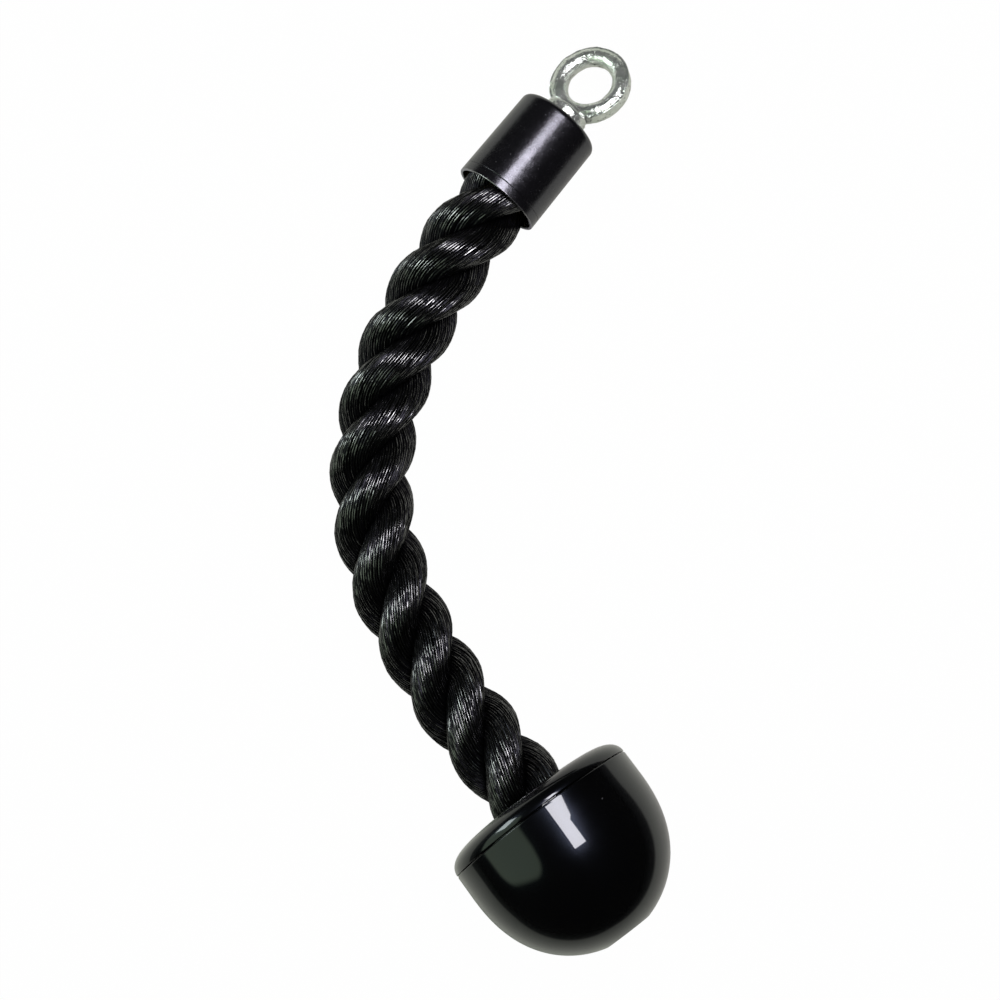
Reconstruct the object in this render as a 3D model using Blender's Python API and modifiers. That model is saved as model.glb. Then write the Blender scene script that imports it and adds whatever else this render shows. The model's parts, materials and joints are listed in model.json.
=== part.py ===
"""Single-grip triceps rope: a hard-laid rope between an eye bolt's ferrule and a ball stop.

Lengths are in metres and +Z is up. The part lies on its side on the plane z = 0, resting on the
ferrule's closed end, the rope's belly and the ball's rim. The ferrule is at +Y, the ball at -Y, and the
rope bows towards -X. Two local frames carry the turned pieces. The ferrule frame starts at the centre of
the ferrule's closed face and its local +Z runs down the cup towards the rope. The ball frame starts at
the centre of the ball's seam and its local +Z runs towards the ball's flat end. In both, local +X leans
up and local +Y lies level.
"""

import math

import bmesh
import bpy
import numpy as np
from mathutils import Matrix, Vector

# Clearances
GAP = 0.0003  # between pieces that touch
STRAND_GAP = 0.00045  # between neighbouring strands, at their corners
OVERRUN = 0.003  # how far a cutter runs past what it cuts

# Rope
ROPE_DIAMETER = 0.030
ROPE_LAY = 0.067  # along the rope, for one full turn of a strand
ROPE_SPAN = 0.2085  # in plan, from the ferrule's mouth to the ball's mouth
STRANDS = 3
STEPS_PER_LAY = 16
STUB_SHARE = 0.5  # of a step: the room kept at each end for a straight stub that squares the cap
STRAND_BEVEL_RESOLUTION = 4
STRAND_PHASE = math.radians(225)
NECKING = 0.0012  # how much the rope's radius is drawn in where it enters the ferrule
NECKING_REACH = 0.022  # how far outside the ferrule the rope is full again

# How the part lies
FERRULE_HEADING = math.radians(231.1)
FERRULE_TILT = math.radians(5.2)
BALL_HEADING = math.radians(-52.5)
BALL_TILT = math.radians(12.7)
EYE_TURN = math.radians(25)

# The rope's route in plan, as shares of the span, from the ferrule's mouth to the ball's mouth. The last
# number is the lift of the rope's centre above the belly, as a share of the nearer mouth's own lift.
ROUTE_SHARES = (
    (-0.109, 0.490, 1.0),
    (-0.205, 0.359, 0.72),
    (-0.290, 0.186, 0.16),
    (-0.320, -0.026, 0.0),
    (-0.258, -0.225, 0.14),
    (-0.140, -0.405, 0.59),
    (-0.054, -0.509, 1.0),
)
BELLY_INDEX = 3
FLEX_SHARE = 0.5  # of the exposed rope, from the ferrule to where the rope flexes

# Ferrule
FERRULE_LENGTH = 0.0363
FERRULE_DIAMETER = 0.0313  # at the closed end
FERRULE_FLARE = 0.0005  # how much wider its radius is at the mouth
FERRULE_WALL = 0.0012
FERRULE_CORNER = 0.0021
SCORE_FROM_RIM = 0.0033
SCORE_WIDTH = 0.0004
SCORE_DEPTH = 0.0002
RIM_CHAMFER = 0.0003

# Eye bolt
SHANK_DIAMETER = 0.008
SHANK_LENGTH = 0.0135
SHANK_CHAMFER = 0.0008
COLLAR_DIAMETER = 0.0163
COLLAR_THICKNESS = 0.0024
COLLAR_EDGE = 0.0006
NECK_DIAMETER = 0.0072
EYE_HOLE_DIAMETER = 0.0162
EYE_SECTION_WIDTH = 0.0065  # across the ring's stock, in the ring's plane
EYE_SECTION_HEIGHT = 0.0068  # through the ring
EYE_BAND_HEIGHT = 0.0046  # the trimmed flat on the ring's outer side
EYE_FOOT = 0.0027  # from the ferrule to the ring's outer side

# Nut and washer under the ferrule's closed end
WASHER_DIAMETER = 0.016
WASHER_THICKNESS = 0.0016
NUT_ACROSS_FLATS = 0.013
NUT_HEX_HEIGHT = 0.0065
NUT_CROWN_DIAMETER = 0.0118
NUT_CROWN_HEIGHT = 0.0018
INSERT_THICKNESS = 0.0012
INSERT_HEIGHT = 0.0014
COVER_WALL = 0.0008
COVER_ROOM = 0.0009  # between the cover and what turns inside it

# Bonding resin in the cup
RESIN_OVER_COVER = 0.0012
RESIN_FROM_RIM = 0.0045

# Ball
BALL_DIAMETER = 0.0712
DOME_HEIGHT = 0.0072
DOME_POWERS = (7.0, 2.2)  # of the radius and of the height, in the dome's outline
BOWL_LAND = 0.008  # the straight stretch beside the seam
BOWL_DEPTH = 0.0486  # from the seam to the flat end
BOWL_FLAT_DIAMETER = 0.0176  # of the flat end
BOWL_POWERS = (2.0, 2.35)
SEAM_GAP = 0.0003
MOUTH_EDGE = 0.0008
SPIGOT_OUTER_DIAMETER = 0.060
SPIGOT_WALL = 0.004
SPIGOT_DEPTH = 0.004

# Rope end inside the ball
BAND_WALL = 0.0015
BAND_LENGTH = 0.020
ROPE_END_FROM_BAND = 0.004  # rope that stands out of the band
END_DISC_THICKNESS = 0.002
SCREW_DIAMETER = 0.006
SCREW_GRIP = 0.028  # of the screw inside the rope
SCREW_POINT = 0.006
SCREW_HEAD_DIAMETER = 0.011
SCREW_HEAD_HEIGHT = 0.0045
SCREW_WASHER_DIAMETER = 0.0125
SCREW_WASHER_THICKNESS = 0.0012
PLUG_DIAMETER = 0.0136
PLUG_THICKNESS = 0.0045
PLUG_CHAMFER = 0.0005

# Facets
TURN_STEPS = 40
SMALL_TURN_STEPS = 28
RING_STEPS = 32
SECTION_STEPS = 14
ARC_STEPS = 4
OUTLINE_STEPS = 10
SPLINE_SAMPLES = 600
BEND_SAMPLES = 12
SIZING_STEPS = 40  # halvings in the search for the strands' radius
SIZING_SAMPLES = 91  # places along a strand where it is compared with its neighbour
HEX_SIDES = 6
TURNED_SHARP_ANGLE = math.radians(35)
TUBE_SHARP_ANGLE = math.radians(50)
MERGE_DISTANCE = 0.000001

# Colours, with roughness and metallic value
FINISHES = {
    "zinc_plate": ((0.62, 0.64, 0.62, 1.0), 0.35, 1.0),
    "black_ferrule_steel": ((0.035, 0.033, 0.038, 1.0), 0.32, 1.0),
    "inner_steel": ((0.45, 0.45, 0.46, 1.0), 0.4, 1.0),
    "white_nylon": ((0.75, 0.75, 0.72, 1.0), 0.5, 0.0),
    "cover_plastic": ((0.12, 0.12, 0.13, 1.0), 0.5, 0.0),
    "amber_resin": ((0.33, 0.20, 0.07, 1.0), 0.3, 0.0),
    "black_rope_fibre": ((0.018, 0.017, 0.019, 1.0), 0.45, 0.0),
    "gloss_black_ball": ((0.010, 0.010, 0.011, 1.0), 0.08, 0.0),
}

ROPE_RADIUS = ROPE_DIAMETER / 2
BALL_RADIUS = BALL_DIAMETER / 2
UP = Vector((0, 0, 1))


# Scene helpers


def clear_scene():
    for obj in list(bpy.data.objects):
        bpy.data.objects.remove(obj, do_unlink=True)


def new_collection(name):
    collection = bpy.data.collections.new(name)
    bpy.context.scene.collection.children.link(collection)
    return collection


def finish_material(name, finish):
    """A material of the piece's own, in one of the named finishes."""
    colour, roughness, metallic = FINISHES[finish]
    material = bpy.data.materials.new(name)
    material.use_nodes = True
    shader = material.node_tree.nodes["Principled BSDF"]
    shader.inputs["Base Color"].default_value = colour
    shader.inputs["Roughness"].default_value = roughness
    shader.inputs["Metallic"].default_value = metallic
    material.diffuse_color = colour
    return material


class Bench:
    """Where pieces and cutters are put as they are made."""

    def __init__(self):
        self.parts = new_collection("triceps_rope")
        self.cutters = new_collection("cutters")
        self.cutters.hide_render = True

    def piece(self, name, mesh, place, carrier, finish):
        obj = bpy.data.objects.new(name, mesh)
        self.parts.objects.link(obj)
        obj.parent = carrier
        obj.matrix_world = place
        mesh.materials.clear()
        mesh.materials.append(finish_material(name, finish))
        return obj

    def cutter(self, name, mesh, place):
        obj = bpy.data.objects.new(name, mesh)
        self.cutters.objects.link(obj)
        obj.matrix_world = place
        obj.hide_render = True
        obj.display_type = "WIRE"
        return obj

    def axis(self, name, place, carrier=None):
        """An empty on a joint's axis or at a local frame."""
        empty = bpy.data.objects.new(name, None)
        empty.empty_display_size = ROPE_RADIUS
        self.parts.objects.link(empty)
        empty.parent = carrier
        empty.matrix_world = place
        bpy.context.view_layer.update()
        return empty


def add_boolean(obj, other, operation):
    modifier = obj.modifiers.new(f"{operation.lower()}_{other.name}", "BOOLEAN")
    modifier.operation = operation
    modifier.solver = "EXACT"
    modifier.object = other


# Shapes


def turned_mesh(name, profile, steps=TURN_STEPS, closed=True):
    """A mesh turned about local Z from (radius, height) points. An open profile ends on the axis."""
    area = 0
    for (r0, z0), (r1, z1) in zip(profile, profile[1:] + profile[:1]):
        area += r0 * z1 - r1 * z0
    if area > 0:
        profile = profile[::-1]
    work = bmesh.new()
    points = [work.verts.new((r, 0, z)) for r, z in profile]
    for start, end in zip(points, points[1:] + points[:1] if closed else points[1:]):
        work.edges.new((start, end))
    mesh = bpy.data.meshes.new(name)
    work.to_mesh(mesh)
    work.free()
    holder = bpy.data.objects.new(name, mesh)
    bpy.context.scene.collection.objects.link(holder)
    screw = holder.modifiers.new("turn", "SCREW")
    screw.axis = "Z"
    screw.steps = steps
    screw.render_steps = steps
    screw.use_merge_vertices = True
    screw.merge_threshold = MERGE_DISTANCE
    screw.use_smooth_shade = True
    bpy.context.view_layer.update()
    graph = bpy.context.evaluated_depsgraph_get()
    result = bpy.data.meshes.new_from_object(holder.evaluated_get(graph))
    bpy.data.objects.remove(holder, do_unlink=True)
    bpy.data.meshes.remove(mesh)
    result.name = name
    result.set_sharp_from_angle(angle=TURNED_SHARP_ANGLE)
    return result


def drum_mesh(name, radius, bottom, top, sides, inner=0):
    """A straight drum or tube about local Z."""
    if inner:
        ring = [(inner, top), (radius, top), (radius, bottom), (inner, bottom)]
        return turned_mesh(name, ring, sides)
    return turned_mesh(name, [(0, top), (radius, top), (radius, bottom), (0, bottom)], sides, closed=False)


def hex_mesh(name, across_flats, bottom, top):
    """A hexagonal block about local Z."""
    work = bmesh.new()
    corner_radius = across_flats / 2 / math.cos(math.pi / HEX_SIDES)
    bmesh.ops.create_cone(
        work,
        cap_ends=True,
        segments=HEX_SIDES,
        radius1=corner_radius,
        radius2=corner_radius,
        depth=top - bottom,
        matrix=Matrix.Translation((0, 0, (top + bottom) / 2)),
    )
    mesh = bpy.data.meshes.new(name)
    work.to_mesh(mesh)
    work.free()
    return mesh


def tube_mesh(name, knots, radius, room=0):
    """A closed tube along (point, fullness) knots, from a bevelled curve with its caps welded."""
    curve = bpy.data.curves.new(name, "CURVE")
    curve.dimensions = "3D"
    curve.bevel_depth = radius
    curve.bevel_resolution = STRAND_BEVEL_RESOLUTION
    curve.use_fill_caps = True
    spline = curve.splines.new("POLY")
    spline.points.add(len(knots) - 1)
    for knot, (point, share) in zip(spline.points, knots):
        knot.co = (*point, 1)
        knot.radius = share + room / radius
    holder = bpy.data.objects.new(name, curve)
    bpy.context.scene.collection.objects.link(holder)
    bpy.context.view_layer.update()
    graph = bpy.context.evaluated_depsgraph_get()
    mesh = bpy.data.meshes.new_from_object(holder.evaluated_get(graph))
    bpy.data.objects.remove(holder, do_unlink=True)
    work = bmesh.new()
    work.from_mesh(mesh)
    bmesh.ops.remove_doubles(work, verts=work.verts, dist=MERGE_DISTANCE)
    bmesh.ops.recalc_face_normals(work, faces=work.faces)
    work.to_mesh(mesh)
    work.free()
    mesh.shade_smooth()
    mesh.set_sharp_from_angle(angle=TUBE_SHARP_ANGLE)
    return mesh


def arc(centre, radius, start, end, steps=ARC_STEPS):
    """(radius, height) points on an arc about a centre in the profile's plane, angles in degrees."""
    points = []
    for angle in np.radians(np.linspace(start, end, steps + 1)):
        points.append((centre[0] + radius * math.cos(angle), centre[1] + radius * math.sin(angle)))
    return points


def full_outline(radius, height, powers, from_radius, steps=OUTLINE_STEPS):
    """(radius, height) points of (r / radius)^a + (h / height)^b = 1, from the widest point inwards."""
    radial, axial = powers
    last = math.acos((from_radius / radius) ** (radial / 2))
    points = []
    for angle in np.linspace(0, last, steps + 1):
        r = radius * math.cos(angle) ** (2 / radial)
        points.append((r, height * math.sin(angle) ** (2 / axial)))
    return points


# Frames and the rope's route


def heading_vector(heading, tilt):
    level = math.cos(tilt)
    return Vector((level * math.cos(heading), level * math.sin(heading), math.sin(tilt)))


def local_frame(origin, direction):
    """Local Z along direction, local X leaning up and local Y level."""
    side = direction.cross(UP).normalized()
    lift = side.cross(direction)
    axes = Matrix((lift, side, direction)).transposed()
    return Matrix.Translation(origin) @ axes.to_4x4()


def resting_height(profile, tilt):
    """How high the axis lies at local Z = 0 when the turned shape rests on the floor."""
    return max(r * math.cos(tilt) - z * math.sin(tilt) for r, z in profile)


def clamped_spline(points, start_direction, end_direction):
    """Positions along the smooth curve through points, which leaves and arrives in given directions."""
    points = np.array(points)
    lengths = np.linalg.norm(np.diff(points, axis=0), axis=1)
    knots = np.concatenate([[0], np.cumsum(lengths)])
    count = len(points)
    system = np.zeros((count, count))
    known = np.zeros((count, points.shape[1]))
    system[0, 0] = 1
    system[-1, -1] = 1
    known[0] = start_direction
    known[-1] = end_direction
    for i in range(1, count - 1):
        before, after = lengths[i - 1], lengths[i]
        system[i, i - 1 : i + 2] = (after, 2 * (before + after), before)
        rise = after / before * (points[i] - points[i - 1]) + before / after * (points[i + 1] - points[i])
        known[i] = 3 * rise
    slopes = np.linalg.solve(system, known)
    places = []
    for distance in np.linspace(0, knots[-1], SPLINE_SAMPLES):
        i = min(np.searchsorted(knots, distance, side="right") - 1, count - 2)
        t = (distance - knots[i]) / lengths[i]
        along = (2 * t**3 - 3 * t**2 + 1) * points[i] + (3 * t**2 - 2 * t**3) * points[i + 1]
        bend = (t**3 - 2 * t**2 + t) * slopes[i] + (t**3 - t**2) * slopes[i + 1]
        places.append(along + lengths[i] * bend)
    return np.array(places)


class Route:
    """The rope's centreline, measured from the ferrule's mouth. It runs straight on past both mouths."""

    def __init__(self, places, start_direction, end_direction):
        self.places = places
        self.start_direction = np.array(start_direction)
        self.end_direction = np.array(end_direction)
        steps = np.linalg.norm(np.diff(places, axis=0), axis=1)
        self.stations = np.concatenate([[0], np.cumsum(steps)])
        self.length = self.stations[-1]

    def point(self, station):
        if station < 0:
            return self.places[0] + station * self.start_direction
        if station > self.length:
            return self.places[-1] + (station - self.length) * self.end_direction
        return np.array([np.interp(station, self.stations, column) for column in self.places.T])

    def direction(self, station):
        reach = self.length / SPLINE_SAMPLES
        step = self.point(station + reach) - self.point(station - reach)
        return step / np.linalg.norm(step)

    def tightest_bend(self):
        """The least radius of curvature of the exposed rope."""
        least = math.inf
        reach = self.length / BEND_SAMPLES
        for station in np.linspace(reach, self.length - reach, BEND_SAMPLES):
            before = self.direction(station - reach)
            after = self.direction(station + reach)
            turn = math.acos(min(1, float(before @ after)))
            least = min(least, 2 * reach / turn)
        return least


def strand_sizes(bend_radius):
    """(strand radius, helix radius) of strands that fill the rope and keep their gap where it bends."""
    offsets = np.linspace(-math.pi / 2, 0, SIZING_SAMPLES)
    turn = 2 * math.pi / STRANDS + offsets
    low, high = 0, ROPE_RADIUS / 2
    for _ in range(SIZING_STEPS):
        radius = (low + high) / 2
        helix = ROPE_RADIUS - radius
        squeezed_lay = ROPE_LAY * (1 - helix / bend_radius)
        across = 2 * helix**2 * (1 - np.cos(turn))
        along = (squeezed_lay * offsets / (2 * math.pi)) ** 2
        if math.sqrt((across + along).min()) > 2 * radius + STRAND_GAP:
            low = radius
        else:
            high = radius
    return low, ROPE_RADIUS - low


def fullness(station):
    """The rope's size at a station, as a share of its free size: it is drawn in at the ferrule."""
    narrowness = min(1, max(0, 1 - station / NECKING_REACH))
    return 1 - NECKING / ROPE_RADIUS * narrowness**2 * (3 - 2 * narrowness)


def strand_point(route, strand, helix_radius, station):
    """A point of the strand's centreline: a right-hand helix about the route."""
    along = Vector(route.direction(station))
    side = along.cross(UP).normalized()
    lift = side.cross(along)
    angle = STRAND_PHASE + 2 * math.pi * (strand / STRANDS - station / ROPE_LAY)
    offset = math.cos(angle) * side + math.sin(angle) * lift
    return Vector(route.point(station)) + offset * (helix_radius * fullness(station))


def strand_knots(route, strand, helix_radius, start, end):
    """(point, fullness) along a strand. The inner knots lie on one lattice for strands and sockets."""
    step = ROPE_LAY / STEPS_PER_LAY
    first = math.ceil(start / step + STUB_SHARE)
    last = math.floor(end / step - STUB_SHARE)
    points = [strand_point(route, strand, helix_radius, step * index) for index in range(first, last + 1)]
    stations = [step * index for index in range(first, last + 1)]
    for station, inwards in ((start, 1), (end, -1)):
        ahead = strand_point(route, strand, helix_radius, station + step * STUB_SHARE / 2)
        behind = strand_point(route, strand, helix_radius, station - step * STUB_SHARE / 2)
        cap = strand_point(route, strand, helix_radius, station)
        stub = cap + inwards * (ahead - behind) / 2
        if inwards > 0:
            points[:0] = [cap, stub]
            stations[:0] = [station, station]
        else:
            points += [stub, cap]
            stations += [station, station]
    return [(point, fullness(station)) for point, station in zip(points, stations)]


# Outlines shared by pieces that fit together


def ferrule_radius(height):
    """The cup's outer radius, which grows towards its mouth."""
    return FERRULE_DIAMETER / 2 + FERRULE_FLARE * height / FERRULE_LENGTH


def cup_bore(height):
    return ferrule_radius(height) - FERRULE_WALL


def dome_outline():
    """The dome's outer outline from the seam to the mouth, in the ball frame."""
    mouth = ROPE_RADIUS + GAP + MOUTH_EDGE
    outline = full_outline(BALL_RADIUS, DOME_HEIGHT, DOME_POWERS, mouth)
    return [(r, -h) for r, h in outline]


def bowl_outline():
    """The bowl's outer outline from the seam to the edge of its flat end, in the ball frame."""
    radial, axial = BOWL_POWERS
    flat_radius = BOWL_FLAT_DIAMETER / 2
    cut_share = (1 - (flat_radius / BALL_RADIUS) ** radial) ** (1 / axial)
    reach = (BOWL_DEPTH - BOWL_LAND) / cut_share
    outline = full_outline(BALL_RADIUS, reach, BOWL_POWERS, flat_radius)
    return [(BALL_RADIUS, 0)] + [(r, BOWL_LAND + h) for r, h in outline]


def ferrule_outline():
    corner = (ferrule_radius(0) - FERRULE_CORNER, FERRULE_CORNER)
    return arc(corner, FERRULE_CORNER, -90, 0) + [(ferrule_radius(FERRULE_LENGTH), FERRULE_LENGTH)]


# Stations along the stack under the ferrule's closed face, in the ferrule frame
WASHER_TOP = FERRULE_WALL + GAP
NUT_TOP = WASHER_TOP + WASHER_THICKNESS + GAP
CROWN_TOP = NUT_TOP + NUT_HEX_HEIGHT
NUT_END = CROWN_TOP + NUT_CROWN_HEIGHT
SHANK_END = max(SHANK_LENGTH, NUT_END + SHANK_CHAMFER)
COVER_INNER_RADIUS = max(WASHER_DIAMETER / 2, NUT_ACROSS_FLATS / 2 / math.cos(math.pi / HEX_SIDES)) + COVER_ROOM
COVER_OUTER_RADIUS = COVER_INNER_RADIUS + COVER_WALL
COVER_END = SHANK_END + COVER_ROOM + COVER_WALL
ROPE_TOP = COVER_END + GAP + RESIN_OVER_COVER + GAP
RESIN_END = FERRULE_LENGTH - RESIN_FROM_RIM

# Stations inside the ball, in the ball frame
MOUTH_STATION = dome_outline()[-1][1]
BAND_START = SEAM_GAP / 2 + GAP
BAND_END = BAND_START + BAND_LENGTH
BAND_INNER_RADIUS = ROPE_RADIUS + GAP
BAND_OUTER_RADIUS = BAND_INNER_RADIUS + BAND_WALL
ROPE_END = BAND_END + ROPE_END_FROM_BAND
DISC_START = ROPE_END + GAP
DISC_END = DISC_START + END_DISC_THICKNESS
SCREW_WASHER_START = DISC_END + GAP
SCREW_WASHER_END = SCREW_WASHER_START + SCREW_WASHER_THICKNESS
SCREW_HEAD_START = SCREW_WASHER_END + GAP
SCREW_HEAD_END = SCREW_HEAD_START + SCREW_HEAD_HEIGHT
PLUG_START = BOWL_DEPTH - PLUG_THICKNESS


# Pieces in the ferrule


def make_eye_bolt(bench, swivel, frame):
    """Ring, neck, collar and shank of the forged eye bolt, in one piece."""
    collar_edge = [
        (COLLAR_DIAMETER / 2 - COLLAR_EDGE, -GAP),
        (COLLAR_DIAMETER / 2, -GAP - COLLAR_EDGE),
        (COLLAR_DIAMETER / 2, -GAP - COLLAR_THICKNESS + COLLAR_EDGE),
        (COLLAR_DIAMETER / 2 - COLLAR_EDGE, -GAP - COLLAR_THICKNESS),
    ]
    neck_top = -EYE_FOOT - EYE_SECTION_WIDTH / 2
    shank_radius = SHANK_DIAMETER / 2
    body = [
        (0, neck_top),
        (NECK_DIAMETER / 2, neck_top),
        *reversed(collar_edge),
        (shank_radius, -GAP),
        (shank_radius, SHANK_END - SHANK_CHAMFER),
        (shank_radius - SHANK_CHAMFER, SHANK_END),
        (0, SHANK_END),
    ]
    mesh = turned_mesh("eye_bolt", body, SMALL_TURN_STEPS, closed=False)
    bolt = bench.piece("eye_bolt", mesh, frame, swivel, "zinc_plate")
    section = eye_section()
    ring_mesh = turned_mesh("eye_ring_stock", section, RING_STEPS)
    ring_centre = -EYE_FOOT - EYE_HOLE_DIAMETER / 2 - EYE_SECTION_WIDTH
    ring_place = frame @ Matrix.Translation((0, 0, ring_centre)) @ Matrix.Rotation(math.pi / 2, 4, "Y")
    ring = bench.cutter("eye_ring_stock", ring_mesh, ring_place)
    add_boolean(bolt, ring, "UNION")
    return frame @ Vector((0, 0, ring_centre))


def eye_section():
    """The ring's section: round on the hole's side, with a trimmed flat band on the outer side."""
    half_width = EYE_SECTION_WIDTH / 2
    half_height = EYE_SECTION_HEIGHT / 2
    middle = EYE_HOLE_DIAMETER / 2 + half_width
    band_angle = math.asin(EYE_BAND_HEIGHT / EYE_SECTION_HEIGHT)
    points = []
    for angle in np.linspace(band_angle, 2 * math.pi - band_angle, SECTION_STEPS):
        points.append((middle + half_width * math.cos(angle), half_height * math.sin(angle)))
    outer = EYE_HOLE_DIAMETER / 2 + EYE_SECTION_WIDTH
    half_band = EYE_BAND_HEIGHT / 2
    return points + [(outer, -half_band), (outer, half_band)]


def make_ferrule_cup(bench, carrier, frame):
    """The drawn steel cup, scored round its mouth."""
    bore_corner = FERRULE_CORNER - FERRULE_WALL
    score_start = FERRULE_LENGTH - SCORE_FROM_RIM - SCORE_WIDTH
    score_end = FERRULE_LENGTH - SCORE_FROM_RIM
    hole_radius = SHANK_DIAMETER / 2 + GAP
    outline = ferrule_outline()[:-1]
    outline += [
        (ferrule_radius(score_start), score_start),
        (ferrule_radius(score_start) - SCORE_DEPTH, score_start + SCORE_WIDTH / 2),
        (ferrule_radius(score_end), score_end),
        (ferrule_radius(FERRULE_LENGTH), FERRULE_LENGTH - RIM_CHAMFER),
        (ferrule_radius(FERRULE_LENGTH) - RIM_CHAMFER, FERRULE_LENGTH),
        (cup_bore(FERRULE_LENGTH), FERRULE_LENGTH),
    ]
    inner_corner = (cup_bore(FERRULE_CORNER) - bore_corner, FERRULE_WALL + bore_corner)
    outline += list(reversed(arc(inner_corner, bore_corner, -90, 0)))
    outline += [(hole_radius, FERRULE_WALL), (hole_radius, 0)]
    mesh = turned_mesh("ferrule_cup", outline)
    return bench.piece("ferrule_cup", mesh, frame, carrier, "black_ferrule_steel")


def make_nut_stack(bench, swivel, frame):
    """Washer, lock nut and its nylon insert, which turn with the eye bolt."""
    bore = SHANK_DIAMETER / 2 + GAP
    washer = drum_mesh(
        "eye_washer", WASHER_DIAMETER / 2, WASHER_TOP, WASHER_TOP + WASHER_THICKNESS, SMALL_TURN_STEPS, bore
    )
    bench.piece("eye_washer", washer, frame, swivel, "inner_steel")
    hexagon = hex_mesh("eye_lock_nut", NUT_ACROSS_FLATS, NUT_TOP, CROWN_TOP)
    nut = bench.piece("eye_lock_nut", hexagon, frame, swivel, "inner_steel")
    crown_mesh = drum_mesh(
        "nut_crown_stock", NUT_CROWN_DIAMETER / 2, CROWN_TOP - NUT_HEX_HEIGHT / 2, NUT_END, SMALL_TURN_STEPS
    )
    add_boolean(nut, bench.cutter("nut_crown_stock", crown_mesh, frame), "UNION")
    insert_outer = bore + INSERT_THICKNESS
    seat = insert_outer + GAP
    seat_start = NUT_END - INSERT_HEIGHT - GAP
    hole = [
        (0, NUT_TOP - OVERRUN),
        (bore, NUT_TOP - OVERRUN),
        (bore, seat_start),
        (seat, seat_start),
        (seat, NUT_END + OVERRUN),
        (0, NUT_END + OVERRUN),
    ]
    hole_mesh = turned_mesh("nut_hole", hole, SMALL_TURN_STEPS, closed=False)
    add_boolean(nut, bench.cutter("nut_hole", hole_mesh, frame), "DIFFERENCE")
    insert = drum_mesh(
        "lock_nut_insert", insert_outer, NUT_END - INSERT_HEIGHT, NUT_END, SMALL_TURN_STEPS, bore
    )
    bench.piece("lock_nut_insert", insert, frame, swivel, "white_nylon")


def make_nut_cover(bench, carrier, frame):
    """The cap that keeps the bonding resin off the nut, so that the eye can turn."""
    start = FERRULE_WALL + GAP
    outline = [
        (COVER_INNER_RADIUS, start),
        (COVER_OUTER_RADIUS, start),
        (COVER_OUTER_RADIUS, COVER_END),
        (0, COVER_END),
        (0, COVER_END - COVER_WALL),
        (COVER_INNER_RADIUS, COVER_END - COVER_WALL),
    ]
    ordered = outline[4:] + outline[:4]
    mesh = turned_mesh("nut_cover", ordered, SMALL_TURN_STEPS, closed=False)
    bench.piece("nut_cover", mesh, frame, carrier, "cover_plastic")


def make_resin(bench, carrier, frame, route, strand_radius, helix_radius):
    """The bonding resin that fills the cup round the cover and the strands."""
    start = FERRULE_WALL + GAP
    corner = FERRULE_CORNER - FERRULE_WALL
    pocket_radius = COVER_OUTER_RADIUS + GAP
    pocket_end = COVER_END + GAP
    outline = [
        (0, pocket_end),
        (pocket_radius, pocket_end),
        (pocket_radius, start),
        (cup_bore(start) - GAP - corner, start),
        (cup_bore(start + corner) - GAP, start + corner),
        (cup_bore(RESIN_END) - GAP, RESIN_END),
        (0, RESIN_END),
    ]
    mesh = turned_mesh("ferrule_resin", outline, closed=False)
    resin = bench.piece("ferrule_resin", mesh, frame, carrier, "amber_resin")
    socket_top = ROPE_TOP - GAP
    trim_mesh = drum_mesh("socket_trim", ROPE_DIAMETER, socket_top - ROPE_DIAMETER, socket_top, SMALL_TURN_STEPS)
    trim = bench.cutter("socket_trim", trim_mesh, frame)
    tube_start = socket_top - FERRULE_LENGTH - 2 * strand_radius
    for strand in range(STRANDS):
        knots = strand_knots(route, strand, helix_radius, tube_start, OVERRUN)
        name = f"strand_socket_{strand + 1}"
        socket = bench.cutter(name, tube_mesh(name, knots, strand_radius, GAP), Matrix())
        add_boolean(socket, trim, "DIFFERENCE")
        add_boolean(resin, socket, "DIFFERENCE")


# Rope


def make_strands(bench, route, carriers, strand_radius, helix_radius, ferrule_frame, ball_frame):
    """Three strands, each in an upper and a lower run that meet where the rope flexes."""
    top = ROPE_TOP - FERRULE_LENGTH
    bottom = route.length + ROPE_END - MOUTH_STATION
    flex = FLEX_SHARE * route.length
    runs = {
        "upper": (top - 2 * strand_radius, flex - GAP / 2),
        "lower": (flex + GAP / 2, bottom + 2 * strand_radius),
    }
    trims = rope_end_cutters(bench, ferrule_frame, ball_frame)
    for run, (start, end) in runs.items():
        for strand in range(STRANDS):
            name = f"rope_strand_{strand + 1}_{run}"
            knots = strand_knots(route, strand, helix_radius, start, end)
            mesh = tube_mesh(name, knots, strand_radius)
            piece = bench.piece(name, mesh, Matrix(), carriers[run], "black_rope_fibre")
            for cutter in trims[run]:
                add_boolean(piece, cutter, "DIFFERENCE")


def rope_end_cutters(bench, ferrule_frame, ball_frame):
    """Blocks that square off the rope's two ends, and the screw's hole in its lower end."""
    reach = ROPE_DIAMETER
    top_mesh = drum_mesh("top_trim", reach, ROPE_TOP - ROPE_DIAMETER, ROPE_TOP, SMALL_TURN_STEPS)
    end_mesh = drum_mesh("end_trim", reach, ROPE_END, ROPE_END + ROPE_DIAMETER, SMALL_TURN_STEPS)
    hole = screw_outline(GAP)
    hole_mesh = turned_mesh("rope_screw_hole", hole, SMALL_TURN_STEPS, closed=False)
    return {
        "upper": (bench.cutter("top_trim", top_mesh, ferrule_frame),),
        "lower": (
            bench.cutter("end_trim", end_mesh, ball_frame),
            bench.cutter("rope_screw_hole", hole_mesh, ball_frame),
        ),
    }


# Pieces in the ball


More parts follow.
